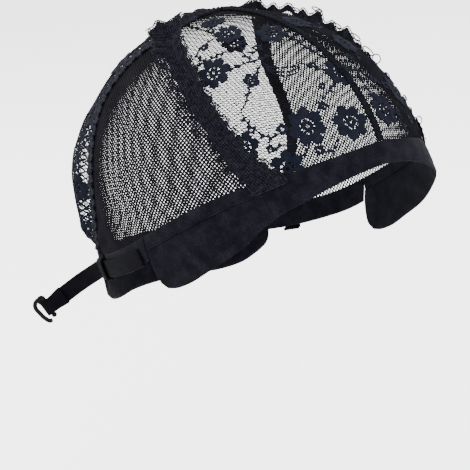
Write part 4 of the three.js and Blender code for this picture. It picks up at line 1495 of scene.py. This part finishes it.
class CAP_OT_bands(bpy.types.Operator):
    """Build the stretch bands, casings, ear tabs and the nape panel"""

    bl_idname = "cap.bands"
    bl_label = "Bands and Tabs"

    def execute(self, context):
        cap = context.scene.cap_sizes
        sizes = context.scene.cap_bands
        form = Form(cap)

        def edge(side):
            foot, top = (BAND_LAP_FOOT, BAND_LAP_TOP) if side == RIGHT else (TEMPLE_FOOT, TEMPLE_TOP)
            return side_seam([foot, top], side)

        def lap(s):
            return sizes.lap_lift * (1 - smooth(s, *LAP_RUN))

        def band_flare(s, t):
            return temple_flare(cap, LEFT, 2 * (1 - s), 1 - t)

        def band_relief(s, t, along, up):
            middle = dent(s - 0.5, 0.02)
            pucker = 0.3 * MM * middle * noise.noise(Vector((s * 160, 4, 4))) * smooth(t, 0.3, 1.0)
            soft = 0.16 * MM * noise.noise(Vector((s * 40, t * 2.5, 2)))
            fold = -0.22 * MM * dent(up - 2.4 * MM, 0.5 * MM)
            return pucker + soft + fold

        front = coons(
            edge(RIGHT), edge(LEFT),
            cross_seam(BAND_FOOT, [BAND_LAP_FOOT]), cross_seam(BAND_TOP, [BAND_LAP_TOP]))
        panel_piece(
            "forehead_band", "band_knit", "front_band", form, front, 260, 20,
            lambda s, t: 0.3 * MM + lap(s) + band_flare(s, t),
            lambda s, t: sizes.band_thickness + lap(s) + band_flare(s, t), band_relief)

        for label, side in SIDES:
            self.side_pieces(form, cap, sizes, label, side)

        def nape_lift(s, t):
            return cap.nape_flare * (1 - t)

        def nape_relief(s, t, along, up):
            ribs = sizes.rib_height * math.cos(2 * math.pi * along / (1.4 * MM))
            groove = -0.3 * MM * dent(up - 4 * MM, 0.4 * MM)
            return ribs * 0.6 + groove + 0.2 * MM * noise.noise(Vector((s * 12, t * 3, 7)))

        nape = coons(
            side_seam(NAPE_SIDE, RIGHT), side_seam(NAPE_SIDE, LEFT),
            cross_seam(NAPE_FOOT), cross_seam(NAPE_TOP))
        panel_piece(
            "nape_tab", "band_knit", "nape_panel", form, nape, 300, 26,
            lambda s, t: 0.2 * MM + nape_lift(s, t),
            lambda s, t: sizes.nape_thickness + nape_lift(s, t), nape_relief)
        return {"FINISHED"}

    def side_pieces(self, form, cap, sizes, label, side):
        casing_foot = side_seam(CASING_FOOT, side)

        def casing_flare(s, t):
            return temple_flare(cap, side, s, CASING_DROP * (1 - t))

        def tab_flare(s, t):
            return temple_flare(cap, side, s, CASING_DROP + (1 - CASING_DROP) * (1 - t))

        def casing_relief(s, t, along, up):
            return 0.15 * MM * noise.noise(Vector((s * 20, t * 2, side * 5)))

        def tab_relief(s, t, along, up):
            ribs = sizes.rib_height * math.cos(2 * math.pi * along / sizes.rib_pitch)
            above_hem = up - sizes.hem
            groove = -0.3 * MM * dent(above_hem, 0.35 * MM)
            hem = 0.12 * MM if above_hem < 0 else 0.0
            return ribs * (0.4 if above_hem < 0 else 1.0) + groove + hem

        casing = coons(
            side_seam([CASING_FOOT[0], CASING_TOP[0]], side), side_seam([CASING_FOOT[-1], EAR_TOP], side),
            casing_foot, side_seam(CASING_TOP, side))
        panel_piece(
            f"net_casing_{label}", "band_knit", f"side_casing_{label}", form, casing, 120, 14,
            lambda s, t: 0.3 * MM + casing_flare(s, t),
            lambda s, t: sizes.casing_thickness + casing_flare(s, t), casing_relief)

        tab = coons(
            side_seam([TEMPLE_FOOT, CASING_FOOT[0]], side), side_seam(TAB_REAR, side),
            side_seam(TAB_FOOT, side), casing_foot)
        panel_piece(
            f"ear_flap_{label}", "tab_knit", f"ear_tab_{label}", form, tab, 190, 36,
            lambda s, t: 0.15 * MM + tab_flare(s, t),
            lambda s, t: sizes.tab_thickness + tab_flare(s, t), tab_relief)

        band = coons(
            side_seam([BACK_BAND_FOOT[0], EAR_TOP], side),
            side_seam([BACK_BAND_FOOT[-1], NAPE_CORNER], side),
            side_seam(BACK_BAND_FOOT, side), side_seam(BACK_BAND_TOP, side))
        panel_piece(
            f"rear_band_{label}", "band_knit", f"back_band_{label}", form, band, 110, 18,
            lambda s, t: 0.3 * MM, lambda s, t: sizes.band_thickness,
            lambda s, t, along, up: 0.16 * MM * noise.noise(Vector((s * 16, t * 3, side * 2))))

        bm = bmesh.new()

        def ridge_lift(share):
            return sizes.casing_thickness - 0.15 * MM + casing_flare(share, 0)

        steps = 90
        frames = [line_frame(form, casing_foot, step / steps) for step in range(steps + 1)]
        points = [form.point(at.direction, ridge_lift(step / steps)) for step, at in enumerate(frames)]
        tube(bm, points, 0.3 * MM, 6, frames[0].out)
        stitches(bm, form, casing_foot, 1.3 * MM * side, lambda share: ridge_lift(share) + 0.1 * MM)
        foot = side_seam(TAB_FOOT, side)
        stitches(bm, form, foot, sizes.hem * 0.9 * side,
                 lambda share: sizes.tab_thickness + tab_flare(share * 0.9, 0.2), 0.12, 0.8)
        piece(f"casing_ridge_{label}", bm, cloth("seam_thread"))


# Strap, keepers and hook

# A strap's section: shares of its width and of its thickness from its middle.
STRAP_SECTION = [
    (0.5, 0.0), (0.492, 0.3), (0.47, 0.5), (0.25, 0.5), (0.0, 0.5), (-0.25, 0.5), (-0.47, 0.5),
    (-0.492, 0.3), (-0.5, 0.0), (-0.492, -0.3), (-0.47, -0.5), (-0.25, -0.5), (0.0, -0.5),
    (0.25, -0.5), (0.47, -0.5), (0.492, -0.3)]


def ring_strip(bm, stations, width, thickness, size):
    """A closed flat strap with rounded edges through stations of middle, across and out."""
    count = len(stations) - 1
    around = len(STRAP_SECTION)

    def place(s, t):
        middle, across, out = stations[round(s * count)]
        wide, thick = STRAP_SECTION[round(t * around) % around]
        return middle + across * wide * width + out * thick * thickness

    verts = grid(bm, count, around, place, size)
    bmesh.ops.remove_doubles(bm, verts=verts, dist=1e-7)
    open_edges = [edge for edge in bm.edges if edge.is_boundary]
    bmesh.ops.holes_fill(bm, edges=open_edges, sides=0)
    bmesh.ops.recalc_face_normals(bm, faces=bm.faces[:])


def heading_at(share):
    index = 1
    while index < len(STRAP_HEADINGS) - 1 and share > STRAP_HEADINGS[index].share:
        index += 1
    before, after = STRAP_HEADINGS[index - 1], STRAP_HEADINGS[index]
    part = (share - before.share) / (after.share - before.share)
    away = math.radians(mix(before.away, after.away, part))
    down = math.radians(mix(before.down, after.down, part))
    return Vector((-math.sin(away) * math.cos(down), math.cos(away) * math.cos(down), -math.sin(down)))


StrapEnd = namedtuple("StrapEnd", "middle forward across out")
NECK_SHARE = 0.92
FOLD_END_SHARE = 1.1
FOLD_SLACK = 0.4 * MM
SEAT_STEPS = 40
FREE_STEPS = 48
FOLD_STEPS = 12


def fold_radius(sizes):
    return sizes.hook_wire / 2 + FOLD_SLACK + sizes.thickness / 2


def strap_stations(form, sizes):
    """The strap on the back band, through its keeper and free down to the hook."""
    line = side_seam(STRAP_SEAT, RIGHT)
    level = sizes.seat + sizes.thickness / 2
    stations = []
    for step in range(SEAT_STEPS + 1):
        line_at = line_frame(form, line, step / SEAT_STEPS)
        stations.append((form.point(line_at.direction, level), -line_at.across, line_at.out))
    seat_across = stations[-1][1]
    point = stations[-1][0].copy()
    for step in range(1, FREE_STEPS + 1):
        share = step / FREE_STEPS
        point = point + heading_at(share - 0.5 / FREE_STEPS) * (sizes.free_length / FREE_STEPS)
        forward = heading_at(share)
        across = seat_across.lerp(STRAP_END_ACROSS, share)
        across = (across - forward * across.dot(forward)).normalized()
        narrowing = mix(1, NECK_SHARE, smooth(share, 0.82, 1))
        stations.append((point.copy(), across * narrowing, across.cross(forward).normalized()))
    end = StrapEnd(point.copy(), forward, across, stations[-1][2])
    radius = fold_radius(sizes)
    for step in range(1, FOLD_STEPS + 1):
        angle = math.pi * step / FOLD_STEPS
        sine, cosine = math.sin(angle), math.cos(angle)
        middle = end.middle + end.forward * radius * sine + end.out * radius * (1 - cosine)
        stations.append((middle, end.across * NECK_SHARE, end.out * cosine - end.forward * sine))
    back = sizes.thickness + FOLD_SLACK
    for step in range(1, FOLD_STEPS + 1):
        share = step / FOLD_STEPS
        rise = mix(2 * radius, back, smooth(share, 0, 0.35))
        middle = end.middle - end.forward * sizes.fold * share + end.out * rise
        widening = mix(NECK_SHARE, FOLD_END_SHARE, smooth(share, 0.2, 1))
        stations.append((middle, end.across * widening, -end.out))
    return stations, end


BAR_TACKS = (2.2 * MM, 3.4 * MM)
TACKS = 5
TACK_SHAPE = ((-0.6, -0.3), (-0.3, 0.1), (0.0, 0.2), (0.3, 0.1), (0.6, -0.3))
KEEPER_STEPS = 40
KEEPER_THICKNESS = 0.8 * MM
KEEPER_PLAY = 0.75 * MM
KEEPER_ROOF = 0.95 * MM
# Half of a keeper's run over the strap: millimetres past the strap's play, whether it is on the
# roof or on the band, and millimetres above that.
KEEPER_HALF = ((1.4, False, 0.0), (0.2, False, 0.1), (-0.2, True, -0.3), (-0.9, True, 0.0))
KEEPER_BOW = 0.1 * MM


class CAP_OT_strap(bpy.types.Operator):
    """Build the adjuster strap and the keepers on both sides"""

    bl_idname = "cap.strap"
    bl_label = "Strap and Keepers"

    def execute(self, context):
        sizes = context.scene.cap_strap
        form = Form(context.scene.cap_sizes)
        stations, end = strap_stations(form, sizes)
        bm = bmesh.new()
        ring_strip(bm, stations, sizes.width, sizes.thickness, (130 * MM, 20 * MM))
        piece("elastic_strap", bm, cloth("strap_weave"), ["adjuster_strap"])

        bm = bmesh.new()
        over = sizes.thickness * 1.5 + 0.5 * MM
        for from_end in BAR_TACKS:
            for index in range(TACKS):
                middle = end.middle - end.forward * (sizes.fold - from_end)
                wide = mix(-0.4, 0.4, index / (TACKS - 1)) * sizes.width
                points = [
                    middle + end.across * (wide + part * MM) + end.out * (over + rise * MM)
                    for part, rise in TACK_SHAPE]
                tube(bm, points, STITCH_THREAD, 4, end.out)
        piece("strap_stitches", bm, cloth("seam_thread"))

        for label, side in SIDES:
            line = side_seam(STRAP_SEAT, side)
            line_at = line_frame(form, line, KEEPER_SHARE)
            inner = sizes.width / 2 + KEEPER_PLAY
            roof = sizes.seat + sizes.thickness + KEEPER_ROOF
            low = sizes.seat - 0.1 * MM
            profile = [
                (inner + past * MM, (roof if on_roof else low) + above * MM)
                for past, on_roof, above in KEEPER_HALF]
            points = [Vector((-x, 0, z)) for x, z in profile]
            points.append(Vector((0, 0, roof + KEEPER_BOW)))
            points.extend(Vector((x, 0, z)) for x, z in reversed(profile))
            stations = []
            for step in range(KEEPER_STEPS + 1):
                spot, tangent = along_points(points, step / KEEPER_STEPS)
                at = beside(line_at, spot.x)
                here = form.point(at, spot.z)
                flat = line_at.across * tangent.x + line_at.out * tangent.z
                stations.append((here, line_at.forward, line_at.forward.cross(flat).normalized()))
            bm = bmesh.new()
            ring_strip(bm, stations, sizes.keeper_length, KEEPER_THICKNESS, (20 * MM, 20 * MM))
            piece(f"keeper_loop_{label}", bm, cloth("strap_weave"),
                  [f"strap_keeper_{label}"])
        return {"FINISHED"}


def along_points(points, share):
    """The place and heading at a share of a run of points."""
    lengths = [(there - here).length for here, there in zip(points, points[1:])]
    wanted = share * sum(lengths)
    for here, there, run in zip(points, points[1:], lengths):
        if wanted <= run or there is points[-1]:
            return here.lerp(there, min(wanted / run, 1.0)), (there - here).normalized()
        wanted -= run
    return points[-1], (points[-1] - points[-2]).normalized()


EYE_PARTS = 20
EYE_RADIUS = 1.5 * MM
EYE_WIRE_SHARE = 0.45
BALL_SHARE = 0.62


class CAP_OT_hook(bpy.types.Operator):
    """Bend the open wire hook in the strap's fold"""

    bl_idname = "cap.hook"
    bl_label = "Hook"

    def execute(self, context):
        sizes = context.scene.cap_strap
        form = Form(context.scene.cap_sizes)
        end = strap_stations(form, sizes)[1]
        bar = end.middle + end.out * fold_radius(sizes)
        half = sizes.hook_bar / 2
        reach = sizes.hook_reach
        rows = [
            (-half, 0.0), (0.0, 0.0), (half - 1.2 * MM, 0.0), (half, 1.2 * MM), (half, reach - 1.8 * MM),
            (half - 1.6 * MM, reach), (0.0, reach), (-half + 1.8 * MM, reach - 0.7 * MM),
            (-half - 0.4 * MM, reach - 2 * MM), (-half - 0.7 * MM, 3.0 * MM),
        ]
        points = [bar + end.across * up + end.forward * out for up, out in rows]
        curve = bpy.data.curves.new("hook_path", "CURVE")
        curve.dimensions = "3D"
        curve.bevel_depth = sizes.hook_wire / 2
        curve.bevel_resolution = 5
        curve.resolution_u = 10
        curve.use_fill_caps = True
        spline = curve.splines.new("BEZIER")
        spline.bezier_points.add(len(points) - 1)
        for knot, point in zip(spline.bezier_points, points):
            knot.co = point
            knot.handle_left_type = knot.handle_right_type = "AUTO"
        shape = bpy.data.objects.new("hook_path", curve)
        mesh = bpy.data.meshes.new_from_object(shape)
        bm = bmesh.new()
        bm.from_mesh(mesh)
        bpy.data.objects.remove(shape)
        bpy.data.meshes.remove(mesh)
        eye = bar + end.across * (half - 0.9 * MM) + end.forward * 0.9 * MM
        around = []
        for part in range(EYE_PARTS):
            angle = 2 * math.pi * part / EYE_PARTS
            around.append(eye + (end.across * math.cos(angle) + end.forward * math.sin(angle)) * EYE_RADIUS)
        tube(bm, around, sizes.hook_wire * EYE_WIRE_SHARE, 10, end.out, closed=True)
        ball = bmesh.ops.create_uvsphere(
            bm, u_segments=16, v_segments=10, radius=sizes.hook_wire * BALL_SHARE)["verts"]
        bmesh.ops.translate(bm, vec=bar - end.across * (half - 0.8 * MM), verts=ball)
        bmesh.ops.recalc_face_normals(bm, faces=bm.faces[:])
        coating = coated_wire("hook_coating", context.scene.cap_colours.metal)
        piece("wire_hook", bm, coating, ["hook"])
        return {"FINISHED"}


# Stage

class CAP_OT_stage(bpy.types.Operator):
    """Set the floor, the soft lights and the camera"""

    bl_idname = "cap.stage"
    bl_label = "Stage"

    EYE = Vector((-0.5518, -0.6902, 0.0966))
    RIGHTWARD = Vector((0.771, -0.630, -0.093))
    UPWARD = Vector((0.212, 0.116, 0.970))
    VIEW_ANGLE = 14.065
    SENSOR = 36.0
    FLOOR_LEVEL = -0.34
    SKY = 3.3

    def execute(self, context):
        scene = context.scene
        bm = bmesh.new()
        bmesh.ops.create_grid(bm, x_segments=2, y_segments=2, size=6.0)
        bmesh.ops.translate(bm, vec=(0, 0, self.FLOOR_LEVEL), verts=bm.verts[:])
        mesh = bpy.data.meshes.new("floor")
        bm.to_mesh(mesh)
        bm.free()
        material, _, _, shader = new_material("pale_floor")
        set_inputs(shader, {"Base Color": (*scene.cap_colours.floor, 1), "Roughness": 0.9})
        mesh.materials.append(material)
        floor = bpy.data.objects.new("floor", mesh)
        scene.collection.objects.link(floor)

        world = scene.world or bpy.data.worlds.new("studio")
        scene.world = world
        world.use_nodes = True
        set_inputs(world.node_tree.nodes["Background"], {"Color": (1, 1, 1, 1), "Strength": self.SKY})
        for name, place, size, power in (
            ("key_light", Vector((-1.3, -1.6, 1.5)), 1.4, 120),
            ("fill_light", Vector((1.6, -1.0, 0.9)), 1.6, 30),
            ("back_light", Vector((-0.4, 1.8, 1.4)), 1.4, 60),
        ):
            light = bpy.data.lights.new(name, "AREA")
            light.size = size
            light.energy = power
            lamp = bpy.data.objects.new(name, light)
            lamp.location = place
            lamp.rotation_euler = (Vector((0, 0, -0.06)) - place).to_track_quat("-Z", "Y").to_euler()
            scene.collection.objects.link(lamp)

        camera = bpy.data.cameras.new("camera")
        camera.sensor_fit = "HORIZONTAL"
        camera.sensor_width = self.SENSOR
        camera.lens = self.SENSOR / 2 / math.tan(math.radians(self.VIEW_ANGLE) / 2)
        camera.clip_start = 0.05
        viewer = bpy.data.objects.new("camera", camera)
        right = self.RIGHTWARD.normalized()
        back = right.cross(self.UPWARD).normalized()
        up = back.cross(right)
        turned = Matrix((right, up, back)).transposed()
        viewer.matrix_world = Matrix.Translation(self.EYE) @ turned.to_4x4()
        scene.collection.objects.link(viewer)
        scene.camera = viewer
        return {"FINISHED"}


class CAP_PT_panel(bpy.types.Panel):
    """The sizes, the colours and the steps of the wig cap"""

    bl_idname = "CAP_PT_panel"
    bl_label = "Wig Cap"
    bl_space_type = "VIEW_3D"
    bl_region_type = "UI"
    bl_category = "Wig Cap"

    def draw(self, context):
        for group_name in GROUPS:
            box = self.layout.box()
            group = getattr(context.scene, group_name)
            for key in group.bl_rna.properties.keys():
                if key not in {"rna_type", "name"}:
                    box.prop(group, key)
        for step in STEPS:
            self.layout.operator(step.bl_idname)


GROUPS = {
    "cap_sizes": CapSizes,
    "cap_nets": NetSizes,
    "cap_ruffles": RuffleSizes,
    "cap_bands": BandSizes,
    "cap_strap": StrapSizes,
    "cap_colours": ClothColours,
}
STEPS = (
    CAP_OT_stage,
    CAP_OT_front_net,
    CAP_OT_side_nets,
    CAP_OT_back_lace,
    CAP_OT_lace_flowers,
    CAP_OT_ruffles,
    CAP_OT_trims,
    CAP_OT_bands,
    CAP_OT_strap,
    CAP_OT_hook,
)


def register():
    for made in (*GROUPS.values(), *STEPS, CAP_PT_panel):
        bpy.utils.register_class(made)
    for name, group in GROUPS.items():
        setattr(bpy.types.Scene, name, PointerProperty(type=group))


def unregister():
    for name in GROUPS:
        delattr(bpy.types.Scene, name)
    for made in (CAP_PT_panel, *reversed(STEPS), *reversed(GROUPS.values())):
        bpy.utils.unregister_class(made)


def main():
    register()
    for step in STEPS:
        area, name = step.bl_idname.split(".")
        getattr(getattr(bpy.ops, area), name)()


if __name__ == "__main__":
    main()
